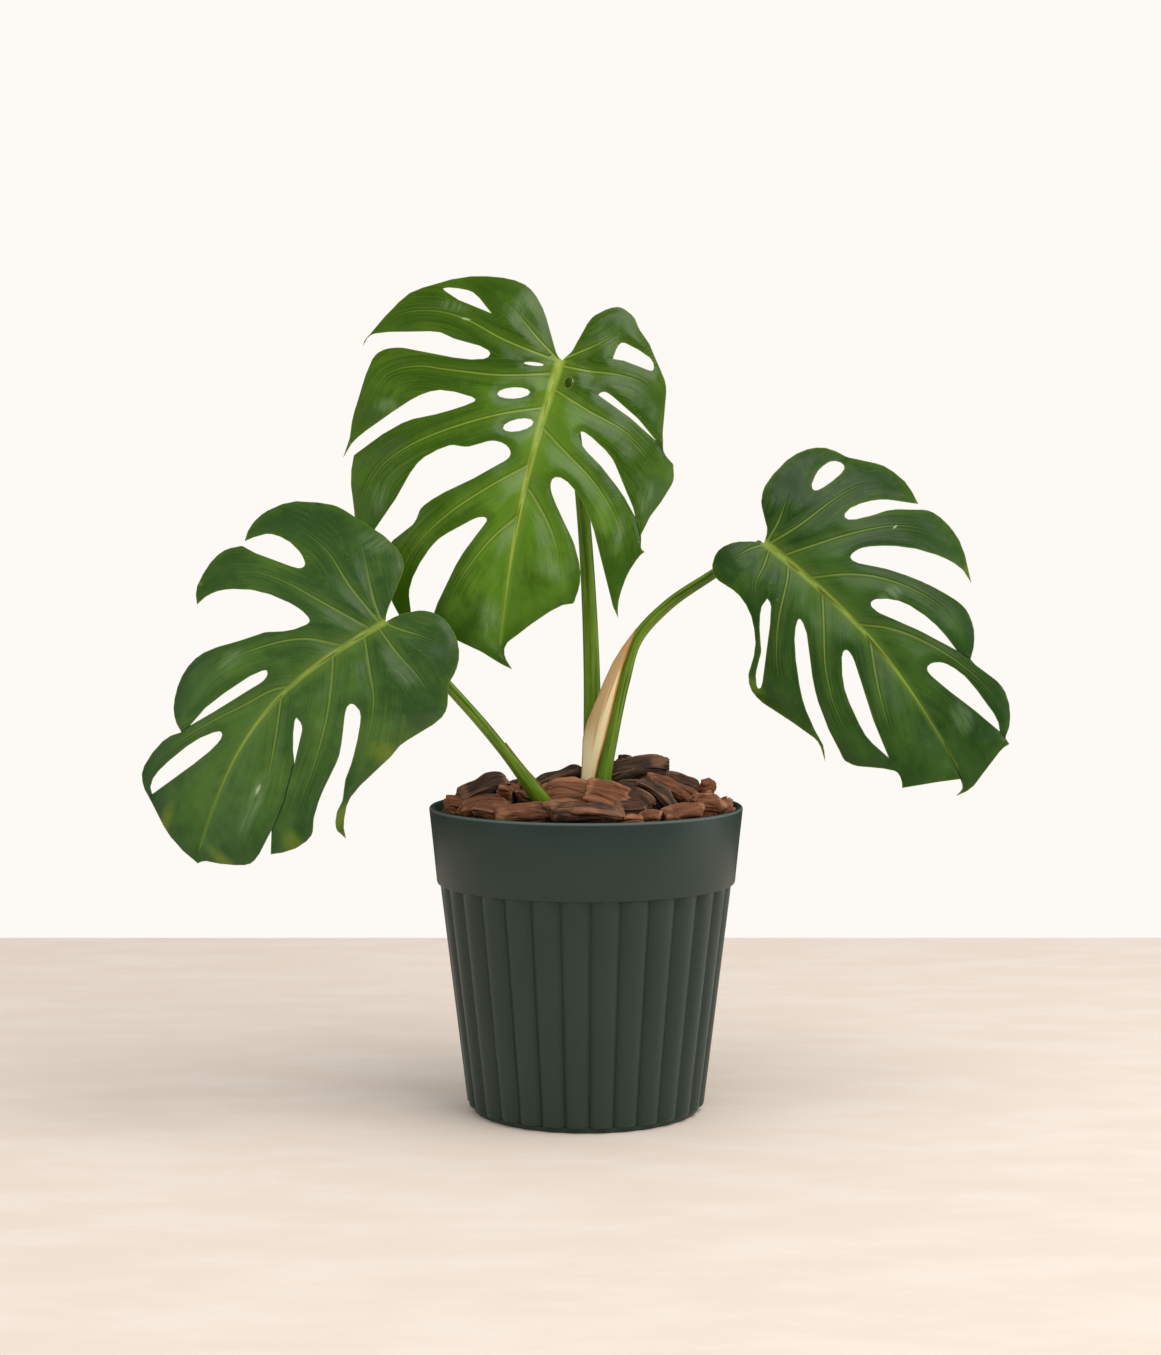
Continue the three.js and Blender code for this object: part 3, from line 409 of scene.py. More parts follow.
def planter_finish(choices):
    plastic = tuple(choices.plastic)
    finish = Finish("satin_green_plastic", Roughness=0.4, Specular_IOR_Level=0.32)
    here = finish.here()
    cloud = here.noise(0.018, 3.0)
    scuff = here.scaled(1.0, 1.0, 0.25).noise(0.35, 5.0, 0.65)
    lighter = tuple(1.12 * part + 0.001 for part in plastic)
    finish.base = finish.mixed(cloud.rise(0.3, 0.75), plastic, lighter)
    x, y, z = here.parts()
    out = (x * x + y * y) ** 0.5
    # Painted highlight: a lighter teal band along the rounded outer edge of the lip.
    lip = out.rise(POT.rim - 1.5, POT.rim - 0.5) * z.rise(POT.height - 2.0, POT.height - 1.0)
    finish.paint(0.8 * lip, (0.11, 0.16, 0.14))
    return finish.done(0.012 * here.noise(1.6, 4.0, 0.6) + 0.012 * scuff, 0.36 + 0.04 * cloud + 0.06 * scuff)


def bark_finish(choices):
    finish = Finish("split_bark", Roughness=0.85, Specular_IOR_Level=0.16)
    lay = finish.lay()
    tone, edge, sunk = finish.attributes("tone", "edge", "sunk")
    fibres = lay.scaled(0.05, 0.75, 0.75).noise(1.0, 5.0, 0.6, 0.5)
    bands = lay.scaled(0.03, 0.2, 0.2).noise(1.0, 2.0, 0.5, 0.8)
    grey = (tone + 0.9 * (lay.noise(0.09, 4.0, 0.6) - 0.5)).rise(0.3, 0.75)
    pale = finish.mixed(grey, (0.33, 0.15, 0.08), (0.15, 0.094, 0.064))
    dark = finish.mixed(grey, (0.04, 0.014, 0.007), (0.013, 0.008, 0.006))
    rim = finish.mixed(grey, (0.45, 0.21, 0.11), (0.27, 0.14, 0.08))
    finish.base = finish.mixed(grey, tuple(choices.red), tuple(choices.grey))
    for share, colour in ((fibres.rise(0.5, 0.74), pale), (0.8 * fibres.rise(0.45, 0.27), dark),
                          (0.7 * bands.rise(0.42, 0.3), dark),
                          # Pale chip edges: partly paler worn fibre, partly painted highlight.
                          (0.65 * (edge + 0.5 * (fibres - 0.5)).rise(0.7, 0.95), rim),
                          # Painted shade: near-black in the crevices, where other chips hide the sky.
                          (0.9 * sunk.rise(0.3, 1.0), (0.008, 0.004, 0.003))):
        finish.paint(share, colour)
    return finish.done(1.1 * fibres + 0.9 * bands, 0.55 + 0.3 * fibres)


def soil_finish():
    finish = Finish("damp_potting_mix", Roughness=0.95)
    here = finish.here()
    crumbs = finish.node("ShaderNodeTexVoronoi", inputs={"Vector": here, "Scale": 0.35})
    fine = here.noise(0.9, 6.0, 0.7)
    finish.base = finish.mixed(fine.rise(0.35, 0.7), (0.012, 0.007, 0.005), (0.06, 0.035, 0.022))
    return finish.done(1.5 * crumbs + 1.2 * fine)


def stalk_finish(name, light, dark):
    finish = Finish(name, Roughness=0.38, Specular_IOR_Level=0.32)
    lay = finish.lay()
    run, = finish.attributes("run")
    streak = lay.scaled(0.55, 0.55, 0.012).noise(1.0, 3.0)
    mottle = lay.scaled(0.2, 0.2, 0.04).noise(1.0, 3.0)
    finish.base = finish.mixed((streak + 0.5 * (mottle - 0.5)).rise(0.28, 0.68), dark, light)
    finish.paint(0.5 * lay.scaled(0.8, 0.8, 0.3).noise().rise(0.72, 0.78), (0.3, 0.36, 0.09))
    finish.paint(0.45 * run.rise(75.0, 10.0), (0.14, 0.31, 0.012))
    return finish.done(0.16 * streak + 0.05 * mottle, 0.3 + 0.2 * streak)


def dry_edge_finish():
    finish = Finish("dry_brown_edge", Roughness=0.75)
    paler = finish.here().noise(0.25, 4.0).rise(0.35, 0.7)
    finish.base = finish.mixed(paler, (0.3, 0.11, 0.018), (0.42, 0.27, 0.09))
    return finish.done()


def leaf_upper_finish(name, node, bright, deep, vein, gloss, shine, ageing):
    """The upper face: a green that pales towards the veins and the midrib, under a waxy gloss, with painted
    sheen and painted shade.
    """
    finish = Finish(name, Roughness=gloss, Specular_IOR_Level=shine)
    lay = finish.lay()
    off_vein, run, rib, margin, outward, crease, creased = finish.attributes(
        "vein", "run", "rib", "margin", "outward", "crease", "creased")
    away, crease, down = abs(off_vein), abs(crease), lay.parts()[0]
    cloud = lay.noise(0.022, 3.0, 0.55)
    fine = lay.noise(0.14, 4.0, 0.6)
    ribbing = finish.streaks(run, off_vein, 2.2, 0.4, 0.55)
    threads = finish.streaks(run, off_vein, 2.5, 1.1, detail=2.0)
    lobes = finish.streaks(run, off_vein, 1.6, 0.06, detail=2.0)
    on_lobe = run.rise(1.0, 0.84)
    pale_green = tuple(0.62 * b + 0.38 * v for b, v in zip(bright, vein))
    vein_green = tuple(0.42 * b + 0.58 * v for b, v in zip(bright, vein))
    # From deep to bright green by random mottling and streaks along the veins, with painted sheen making it
    # lighter towards the middle of the blade.
    light = (0.42 * cloud + 0.14 * fine + 0.18 * (0.5 + on_lobe * (ribbing - 0.5)) + 0.26 * lobes
             + 0.12 * outward.rise(0.62, 0.2))
    brushed = lay.scaled(0.05, 0.3, 1.0).noise(1.0, 4.0, 0.6)
    width = 0.8 - 0.5 * run
    thick = away / width
    shown = run.rise(0.95, 0.3)
    on_rib = rib.rise(1.35, 0.7) * (1.0 - 0.75 * down.rise(110.0, 188.0))

    finish.base = finish.mixed(light.rise(0.45, 0.69), deep, bright)
    for share, colour in (
            # Painted shade: the green deepens towards the margins, where the lobes bend away.
            (0.5 * (margin + 9.0 * (cloud - 0.5)).rise(11.0, 1.0), deep),
            (0.18 * on_lobe * threads.rise(0.5, 0.62), pale_green),
            (0.24 * (away.rise(7.0, 0.6) * run.rise(1.0, 0.2)), pale_green),
            (0.4 * rib.rise(5.0, 1.0), pale_green),
            # Painted sheen: pale patches along the lobes, with real dust among those of the left leaf.
            (0.5 * (finish.marked(lay, node, "dust_and_sheen") * brushed.rise(0.25, 0.7)), (0.2, 0.3, 0.14)),
            (0.5 * (finish.marked(lay, node, "yellow") * (0.3 + 0.9 * fine)), (0.2, 0.27, 0.012)),
            (0.55 * (finish.marked(lay, node, "brown") * fine.rise(0.35, 0.6)), (0.12, 0.1, 0.012)),
            (ageing * ((margin + 20.0 * (fine - 0.5)).rise(9.0, -2.0)
                       * (outward + 0.5 * (cloud - 0.5)).rise(0.5, 0.72)), (0.13, 0.23, 0.006)),
            (0.5 * margin.rise(0.8, 0.2), (0.16, 0.22, 0.03)),
            (0.3 * lay.noise(0.6, 1.0).rise(0.73, 0.77), vein),
            # Painted shadow: a dark halo along both sides of each lateral vein.
            (0.4 * shown * thick.rise(3.4, 1.4), deep),
            (0.85 * (thick.rise(1.15, 0.5) * shown), vein_green),
            (0.8 * finish.marked(lay, node, "pale"), (0.42, 0.52, 0.3)),
            # Painted shadow: a dark line along each crease, where lobes meet and fold.
            (0.8 * creased * crease.rise(0.75, 0.2), tinted(deep, 0.3)),
            (on_rib, finish.mixed(rib.rise(0.9, 0.1), vein_green, vein))):
        finish.paint(share, colour)
    dust = lay.noise(0.9).rise(0.68, 0.76)
    groove = thick.rise(2.2, 0.5) * run.rise(1.0, 0.7)
    fold = crease.rise(3.0, 0.0) * creased
    sheet = on_lobe * (0.16 * ribbing + 0.05 * threads) - 0.25 * groove
    relief = 0.1 * fine - 0.7 * fold + rib.rise(1.0, 1.8) * sheet
    return finish.done(relief, gloss + 0.1 * (fine - 0.5) + 0.16 * (cloud - 0.5) + 0.1 * on_rib + 0.08 * dust)


def leaf_under_finish(name, green, vein):
    finish = Finish(name, Roughness=0.55)
    off_vein, run, rib = finish.attributes("vein", "run", "rib")
    fine = finish.lay().noise(0.12, 5.0, 0.6)
    line = (abs(off_vein) / (1.15 - 0.7 * run)).rise(1.5, 0.5) * run.rise(1.05, 0.75)
    finish.base = finish.mixed(fine.rise(0.3, 0.7), tinted(green, 0.72), green)
    finish.paint(0.7 * line, vein)
    finish.paint(rib.rise(1.4, 0.9), vein)
    return finish.done(0.5 * line + 0.15 * fine)


def sheath_finish(choices):
    finish = Finish("dried_sheath_skin", Roughness=0.6, Specular_IOR_Level=0.25)
    lay = finish.lay()
    margin, side = finish.attributes("margin", "side")
    up = lay.parts()[0]
    fibres = lay.scaled(0.03, 1.5, 1.0).noise(1.0, 4.0, 0.6)
    patches = lay.scaled(0.025, 0.16, 1.0).noise(1.0, 3.0)
    tan = (fibres + 0.6 * (patches - 0.5)).rise(0.5, 0.8)
    finish.base = finish.mixed(tan, tuple(choices.cream), (0.5, 0.31, 0.13))
    for share, colour in (
            (0.85 * (margin + 1.6 * (patches - 0.5)).rise(1.3, 0.1), tuple(choices.edge)),
            (0.75 * (up.rise(25.0, 60.0) * (side + 1.5 * (patches - 0.5)).rise(-0.6, 0.8)),
             (0.47, 0.27, 0.1)),
            (0.8 * (abs(side + 0.6).rise(0.8, 0.2) * up.rise(40.0, 75.0)), (0.5, 0.22, 0.05)),
            (0.8 * (margin.rise(1.7, 0.6) * side.rise(0.2, -0.6)), (0.52, 0.21, 0.03)),
            (0.5 * up.rise(95.0, 120.0), (0.46, 0.22, 0.07))):
        finish.paint(share, colour)
    return finish.done(0.35 * fibres)


def floor_finish(choices):
    finish = Finish("pale_floor", Roughness=0.6)
    floor = tuple(choices.floor)
    cloud = finish.here(1.0, 2.6, 1.0).noise(9.0, 5.0, 0.6)
    finish.base = finish.mixed(cloud.rise(0.4, 0.65), tinted(floor, 0.965, 0.94, 0.92), floor)
    return finish.done()


# ---------- Making pieces ----------

def seeded(seed):
    """The same row of numbers from 0 to 1 as the solids are strewn with."""
    while True:
        seed = (seed * 1664525 + 1013904223) % 2 ** 32
        yield seed / 2 ** 32


def lerp(low, high, share):
    return low + (high - low) * share


def flowing(points, per_step, corners=()):
    """A smooth run through points, which bends sharply only at the numbered corners."""
    points = [np.array(p, float) for p in points]
    run = []
    for i in range(len(points) - 1):
        start, end = points[i], points[i + 1]
        before = 2 * start - end if i == 0 or i in corners else points[i - 1]
        after = 2 * end - start if i + 2 == len(points) or i + 1 in corners else points[i + 2]
        four = [before, start, end, after]
        gaps = [max(np.linalg.norm(b - a), 1e-6) ** 0.5 for a, b in zip(four, four[1:])]
        knots = [0.0, gaps[0], gaps[0] + gaps[1], sum(gaps)]
        count = per_step(start, end) if callable(per_step) else per_step
        for k in range(count):
            at = lerp(knots[1], knots[2], k / count)
            row = four
            for spans in (((0, 1), (1, 2), (2, 3)), ((0, 2), (1, 3)), ((1, 2),)):
                row = [((knots[b] - at) * p + (at - knots[a]) * q) / (knots[b] - knots[a])
                       for (a, b), p, q in zip(spans, row, row[1:])]
            run.append(row[0])
    return run + [points[-1]]


def mesh_of(name, bm):
    mesh = bpy.data.meshes.new(name)
    bm.to_mesh(mesh)
    bm.free()
    return mesh


def placed(name, data):
    obj = bpy.data.objects.new(name, data)
    bpy.context.scene.collection.objects.link(obj)
    return obj


def piece(name, bm, materials, slot, nodes, sharp):
    """Turns a shape in millimetres into a finished object that stands for its solids."""
    ops.scale(bm, vec=(MM, MM, MM), verts=bm.verts)
    for face in bm.faces:
        face.smooth = True
    for edge in bm.edges:
        edge.smooth = not (len(edge.link_faces) == 2 and edge.calc_face_angle(0.0) > radians(sharp))
    mesh = mesh_of(name, bm)
    for material in materials:
        mesh.materials.append(material)
    obj = placed(name, mesh)
    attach(obj, "root")
    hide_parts(*nodes)


def lathe(bm, profile, steps):
    """Spins a profile of (radius, height) about the upright axis and closes it."""
    row = [bm.verts.new((radius, 0.0, height)) for radius, height in profile]
    line = [bm.edges.new(pair) for pair in zip(row, row[1:])]
    ops.spin(bm, geom=row + line, cent=(0, 0, 0), axis=(0, 0, 1), angle=2 * pi, steps=steps, use_merge=True)
    ops.remove_doubles(bm, verts=bm.verts, dist=1e-4)
    ops.recalc_face_normals(bm, faces=bm.faces)


def new_layers(bm, *names):
    """Adds where each point lies on its piece's flat form, and one number a point for each name."""
    bm.verts.layers.float_vector.new("lay")
    for name in names:
        bm.verts.layers.float.new(name)
    return [bm.verts.layers.float_vector["lay"], *(bm.verts.layers.float[name] for name in names)]


def kept(made, kind):
    """The points, edges or faces among what an operator made."""
    return [part for part in made["geom"] if isinstance(part, kind)]


def tube(bm, run, sides):
    """Sweeps a ring along a run of (x, y, z, radius) and closes its ends."""
    lay, length = new_layers(bm, "run")
    places = [Vector(point[:3]) for point in run]
    ring = ops.create_circle(bm, segments=sides, radius=1.0)["verts"]
    rim = first_rim = list({edge for vert in ring for edge in vert.link_edges})
    before, facing, gone = Matrix.Identity(4), Matrix.Identity(3), 0.0
    for i, (place, (*_, radius)) in enumerate(zip(places, run)):
        ahead = places[min(i + 1, len(places) - 1)] - places[max(i - 1, 0)]
        facing = (facing @ Vector((0, 0, 1))).rotation_difference(ahead).to_matrix() @ facing
        after = Matrix.Translation(place) @ facing.to_4x4() @ Matrix.Diagonal((radius, radius, 1, 1))
        if i:
            gone += (place - places[i - 1]).length
            made = ops.extrude_edge_only(bm, edges=rim)
            ring = kept(made, BMVert)
            inside = set(ring)
            rim = [edge for edge in kept(made, BMEdge) if inside.issuperset(edge.verts)]
        ops.transform(bm, matrix=after @ before.inverted(), verts=ring)
        before = after
        back = after.inverted()
        for vert in ring:
            flat = back @ vert.co
            vert[lay] = (flat.x * radius, flat.y * radius, gone)
            vert[length] = gone
    for end in (first_rim, rim):
        ops.holes_fill(bm, edges=end, sides=sides)
    ops.recalc_face_normals(bm, faces=bm.faces)


def inside_radius(height):
    """The inner wall of the planter at a height."""
    wall = [
        (POT.floor, POT.foot - POT.wall),
        (POT.rib_top + 1, POT.top_radius - POT.relief - POT.wall),
        (POT.band_low + 4, POT.band_radius - POT.wall),
        (POT.height - 3, POT.rim - POT.lip),
    ]
    step = (height > wall[1][0]) + (height > wall[2][0])
    low, high = wall[step:step + 2]
    return lerp(low[1], high[1], (height - low[0]) / (high[0] - low[0]))


def draw_in(vert, share):
    """Brings a point nearer to the upright axis."""
    vert.co.x *= share
    vert.co.y *= share


# ---------- Planter ----------

def planter_shape(relief):
    """A lathed wall whose lower part is drawn in to grooves between round ribs."""
    rib_rows, steps_per_rib, bulge, rib_share = 26, 14, 0.9, 0.95
    ledge = POT.band_low - 1.2
    slope = (POT.top_radius - POT.low_radius) / (POT.rib_top - POT.rib_low)
    ribbed = [(POT.low_radius + slope * (z - POT.rib_low), z)
              for z in np.linspace(POT.rib_low, POT.rib_top + 2, rib_rows)]
    brim = POT.rim - POT.lip
    profile = [
        (0, 0), (POT.foot - 1, 0), (POT.foot - 0.2, 0.6), (POT.foot, POT.foot_height),
        (POT.foot + 0.5, POT.foot_height + 0.6), (POT.low_radius - 1.3, 3.8), (POT.low_radius - 0.3, 5),
        *ribbed, (POT.top_radius + 0.4, ledge - 0.2), (POT.band_radius - 1.2, ledge),
        (POT.band_radius - 0.3, ledge + 0.4), (POT.band_radius, POT.band_low),
        (lerp(POT.band_radius, POT.rim, 0.5), lerp(POT.band_low, POT.height, 0.5)),
        (POT.rim, POT.height - POT.lip_round), (POT.rim - 0.3, POT.height - 0.6),
        (POT.rim - 0.9, POT.height - 0.1), (POT.rim - POT.lip_round, POT.height),
        (brim + POT.lip_round, POT.height), (brim + 0.6, POT.height - 0.2), (brim + 0.1, POT.height - 0.9),
        *((inside_radius(z), z) for z in (POT.height - 3, POT.band_low + 4, POT.rib_top + 1, POT.floor)),
        (0, POT.floor),
    ]
    bm = bmesh.new()
    lathe(bm, profile, POT.ribs * steps_per_rib)
    flattest = 1 - sqrt(1 - bulge ** 2)
    for vert in bm.verts:
        x, y, z = vert.co
        radius = hypot(x, y)
        if not POT.foot_height + 1 < z < ledge - 0.4 or radius < inside_radius(z) + 1:
            continue
        across = min(1.0, abs(2 * ((atan2(y, x) / (2 * pi) * POT.ribs) % 1) - 1) / rib_share)
        fall = relief * (1 - sqrt(1 - (bulge * across) ** 2)) / flattest
        draw_in(vert, 1 - fall / radius)
    turn = Matrix.Rotation(radians(POT.first_groove), 3, "Z")
    ops.rotate(bm, matrix=turn, verts=bm.verts)
    return bm


class PLANT_OT_planter(bpy.types.Operator):
    """Make the ribbed planter"""
    bl_idname = "plant.planter"
    bl_label = "Planter"

    def execute(self, context):
        choices = context.scene.plant_planter
        bm = planter_shape(choices.relief / MM)
        piece("planter", bm, [planter_finish(choices)], "pot", ["pot"], sharp=32.0)
        return {"FINISHED"}


# ---------- Soil and bark ----------

def bark_top(radius):
    return lerp(BARK.middle, BARK.at_wall, (radius / POT.rim) ** 2)


def chip_places(numbers):
    """Where each chip lies, in the order in which the solids are strewn: none near a placed one."""
    def between(ends):
        return lerp(*ends, next(numbers))

    def corners():
        return [[2 * BARK.jitter * (next(numbers) - 0.5) for _ in range(3)] for _ in range(8)]

    for at, size, turn, *_ in PLACED_CHIPS:
        yield at, size, [radians(part) for part in turn], corners()
    tilt = radians(26)
    for radius, chips in BARK.rings:
        for i in range(chips):
            angle = (i + 0.7 * next(numbers)) / chips * 2 * pi
            out = radius + 8 * (next(numbers) - 0.5)
            at = (out * cos(angle), out * sin(angle), bark_top(out) + 4 * next(numbers) - 4)
            size = (between(BARK.length), between(BARK.width), between(BARK.thickness))
            turn = [tilt * (2 * next(numbers) - 1), tilt * (2 * next(numbers) - 1), pi * next(numbers)]
            if all(hypot(at[0] - x, at[1] - y) > BARK.apart for (x, y, _), *_ in PLACED_CHIPS):
                yield at, size, turn, corners()


CORNERS = [(1, 1, 1), (1, 1, -1), (1, -1, 1), (1, -1, -1), (-1, 1, -1), (-1, 1, 1), (-1, -1, -1), (-1, -1, 1)]


def keep_in_planter(vert):
    """Presses a point back inside the planter's wall."""
    clearance = 0.9
    room = inside_radius(min(vert.co.z, POT.height - 3)) - clearance
    radius = hypot(vert.co.x, vert.co.y)
    if radius > room:
        draw_in(vert, room / radius)


def add_chip(bm, at, size, turn, corners, tone, arch, offset, cuts, grain):
    """Adds a chip: a crooked block, rounded off, arched along its length and split along its grain."""
    lump_height, crack_depth, crack_width, fray = 2.2, 1.6, 0.12, 2.4
    chip = bmesh.new()
    lay, shade, edge = new_layers(chip, "tone", "edge")
    ops.create_cube(chip, size=1.0)
    moved = dict(zip(CORNERS, corners))
    for vert in chip.verts:
        vert.co += Vector(moved[tuple(round(copysign(1, part)) for part in vert.co)])
    ops.scale(chip, vec=size, verts=chip.verts)
    ops.subdivide_edges(chip, edges=chip.edges, cuts=cuts, use_grid_fill=True)
    for _ in range(max(2, round(cuts * cuts / 18))):
        ops.smooth_vert(chip, verts=chip.verts, factor=0.5, use_axis_x=True, use_axis_y=True, use_axis_z=True)
    ops.scale(chip, vec=(1.02, 1.02, 1.02), verts=chip.verts)
    chip.normal_update()
    shift = Vector((offset, 2.3 * offset, 5.1 * offset))
    half = size[0] / 2
    for vert in chip.verts:
        local = vert.co.copy()
        vert[lay] = local + shift
        vert[shade] = tone
        vert[edge] = sorted(abs(2 * part / whole) for part, whole in zip(local, size))[1]
        fibre = Vector((local.x * 0.05, local.y * 0.5, local.z * 0.5)) + shift
        split = Vector((local.x * 0.03, local.y * 0.16, local.z * 0.16)) - shift
        lump = noise.noise(local * 0.09 + shift) * lump_height
        strand = (1 - 2 * abs(noise.noise(fibre))) * grain
        crack = crack_depth * max(0.0, crack_width - abs(noise.noise(split))) / crack_width
        frayed = noise.noise(fibre * 2.6) * 0.5 * grain
        ragged = noise.noise(fibre * 1.7 - shift) * fray * max(0.0, abs(local.x) / half - 0.7)
        vert.co += vert.normal * (lump + strand - crack + frayed)
        vert.co.x += copysign(ragged, local.x)
        vert.co.z -= arch * ((local.x / half) ** 2 - 0.33)
    place = (Matrix.Translation(at) @ Matrix.Rotation(turn[2], 4, "Z") @ Matrix.Rotation(turn[1], 4, "Y")
             @ Matrix.Rotation(turn[0], 4, "X"))
    ops.transform(chip, matrix=place, verts=chip.verts)
    for vert in chip.verts:
        keep_in_planter(vert)
    mesh = mesh_of("chip", chip)
    bm.from_mesh(mesh)
    bpy.data.meshes.remove(mesh)


def shade_crevices(bm):
    """Notes on every point what share of the sky close above it other chips hide, as the mask of the shade
    painted into the crevices.
    """
    sunk, off_surface, reach = bm.verts.layers.float["sunk"], 0.5, 14.0
    bm.normal_update()
    heap = BVHTree.FromBMesh(bm)
    skywards = [Vector((0.8 * cos(turn), 0.8 * sin(turn), 0.6)) for turn in (0.3, 1.6, 2.8, 4.1, 5.3)]
    skywards.append(Vector((0, 0, 1)))
    for vert in bm.verts:
        start = vert.co + off_surface * vert.normal
        hidden = [heap.ray_cast(start, way + 0.6 * vert.normal, reach)[0] is not None for way in skywards]
        vert[sunk] = sum(hidden) / len(hidden)


def bark_shape(grain):
    """The bed and every chip on it, strewn by the same rule as the solids."""
    bed_sunk, crumbs, crumb_reach = 10.0, 200, 97.0
    bm = bmesh.new()
    lay, tone, *_ = new_layers(bm, "tone", "edge", "sunk")
    bottom = SOIL_TOP + 0.4
    bed = [(0, bottom), (inside_radius(bottom) - 0.6, bottom)]
    bed += [(radius, bark_top(radius) - bed_sunk) for radius in np.linspace(98.6, 0, 34)]
    lathe(bm, bed, 120)
    for vert in bm.verts:
        vert[lay] = vert.co * 1.5
        vert[tone] = 1.0
        if vert.co.z > bottom + 1:
            vert.co.z += min(noise.noise(vert.co * 0.16) * 3.0 + noise.noise(vert.co * 0.5) * 1.4, 2.5)
            keep_in_planter(vert)

    numbers, shades = seeded(BARK.seed), seeded(29)
    straight = [(0, 0, 0)] * 8
    for index, (at, size, turn, corners) in enumerate(chip_places(numbers)):
        on_top = index < len(PLACED_CHIPS)
        shade, bend = PLACED_CHIPS[index][3:] if on_top else (next(shades), 4 * next(shades) - 1)
        add_chip(bm, at, size, turn, corners, shade, bend, 13.7 * index, 16 if on_top else 10, grain)
        if on_top:
            # A stub under each placed chip carries it, since those lie highest on the bed.
            x, y, z = at
            top, low = z + 1.0, bark_top(hypot(x, y)) - bed_sunk - 5.0
            stub = (0.55 * size[0], 0.5 * size[1], top - low)
            middle = (x, y, (top + low) / 2)
            add_chip(bm, middle, stub, (0, 0, turn[2]), straight, shade, 0.0, 5.3 * index, 8, grain)
    heap = BVHTree.FromBMesh(bm)
    for index in range(crumbs):
        out, angle = crumb_reach * sqrt(next(shades)), 2 * pi * next(shades)
        at = Vector((out * cos(angle), out * sin(angle), bark_top(out) - 4.5 + 5 * next(shades)))
        size = (4 + 8 * next(shades), 2 + 3 * next(shades), 1.5 + 2 * next(shades))
        at.z = (heap.ray_cast(at, Vector((0, 0, -1)))[0] or at).z
        turn = [pi * (next(shades) - 0.5), 0.9 * (next(shades) - 0.5), pi * next(shades)]
        corners = [[0.5 * (next(shades) - 0.5) for _ in range(3)] for _ in range(8)]
        add_chip(bm, at, size, turn, corners, next(shades), 0.0, 7.1 * index, 1, 0.2 * grain)
    shade_crevices(bm)
    return bm


class PLANT_OT_bark(bpy.types.Operator):
    """Make the bed of bark chips and finish the mix under it"""
    bl_idname = "plant.bark"
    bl_label = "Bark and soil"

    def execute(self, context):
        choices = context.scene.plant_bark
        bm = bark_shape(choices.grain / MM)
        piece("bark_chips", bm, [bark_finish(choices)], "bark", ["bark_mulch"], sharp=60.0)
        stalks = context.scene.plant_stalks
        crown = stalk_finish("green_crown", tuple(stalks.green), tuple(stalks.shade))
        for name, finish in (("soil", soil_finish()), ("stem_crown", crown)):
            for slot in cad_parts[name].material_slots:
                slot.material = finish
        return {"FINISHED"}


# ---------- Stalks ----------

def in_space(x, z, depth):
    """The point at a depth that the camera sees where the drawn point is."""
    growth = 1 - depth / EYE.y
    return Vector((EYE.x + (x - EYE.x) * growth, depth, EYE.z + (z - EYE.z) * growth))


def add_wing(bm):
    """The thin dried strip that stands on the left stalk."""
    outline = [*WING.outline, WING.outline[0]]
    outline = flowing(outline, 4, {0, 1, 5, 6, len(WING.outline)})[:-1]
    corners = [bm.verts.new(in_space(x, z, WING.depth + WING.lean * (z - WING.foot))) for x, z in outline]
    ops.translate(bm, vec=(0, -WING.thickness / 2, 0), verts=corners)
    made = ops.extrude_face_region(bm, geom=[bm.faces.new(corners)], use_keep_orig=True)
    behind = kept(made, BMVert)
    ops.translate(bm, vec=(0, WING.thickness, 0), verts=behind)
    for side in {side for vert in (*corners, *behind) for side in vert.link_faces}:
        side.material_index = 1
    ops.recalc_face_normals(bm, faces=bm.faces)


class PLANT_OT_stalks(bpy.types.Operator):
    """Make the three leaf stalks"""
    bl_idname = "plant.stalks"
    bl_label = "Stalks"

    def execute(self, context):
        choices = context.scene.plant_stalks
        dark = tuple(choices.shade)
        young = stalk_finish("young_green_stalk", tuple(choices.green), dark)
        grown = stalk_finish("grown_green_stalk", tuple(choices.grown), tinted(dark, 0.6))
        dry = dry_edge_finish()
        for name, points in STALKS.items():
            bm = bmesh.new()
            run = [tuple(p) for p in flowing(points, 10)][:-STALK_TRIM[name]]
            tube(bm, [p for p in run if p[2] > SOIL_TOP + 1], sides=28)
            if name == "stalk_left":
                add_wing(bm)
            green = young if name == "stalk_tall" else grown
            piece(name + "_skin", bm, [green, dry], "stem", [name], sharp=60.0)
        return {"FINISHED"}


# ---------- Leaves ----------

class Blade:
    """How one leaf hangs: s runs down its midrib and w to its side, both as drawn."""

    def __init__(self, form):
        self.form = form
        self.base = np.array(form["base"], float)
        along = np.array(form["end"], float) - self.base
        self.length = float(np.linalg.norm(along))
        self.along = along / self.length
        self.across = np.array((-self.along[1], self.along[0]))

    def bow(self, s):
        return self.form["bow"] * np.sin(np.pi * s / self.length)

    def drawn(self, s, w):
        return self.base + np.outer(s, self.along) + np.outer(w + self.bow(s), self.across)

    def flat(self, point):
        """The (s, w) of a point in space."""
        growth = 1 - point.y / EYE.y
        return self.unfolded(EYE.x + (point.x - EYE.x) / growth, EYE.z + (point.z - EYE.z) / growth)

    def unfolded(self, x, z):
        """The (s, w) of a drawn point."""
        out = np.array((x, z)) - self.base
        s = float(out @ self.along)
        return s, float(out @ self.across - self.bow(s))

    def depth(self, s, w):
        form = self.form
        out = np.abs(w) / form["half"]
        down = -form["lean"] * s + form["hang"] * s * s / self.length
        swell = form["swell"] * np.sin(np.pi * np.minimum(out, 1))
        return form["depth"] + down + form["tilt"] * w + form["edge"] * out * out - swell

    def slant(self, s, w):
        down = self.depth(s + 0.5, w) - self.depth(s - 0.5, w)
        side = self.depth(s, w + 0.5) - self.depth(s, w - 0.5)
        return np.sqrt(1 + down ** 2 + side ** 2)


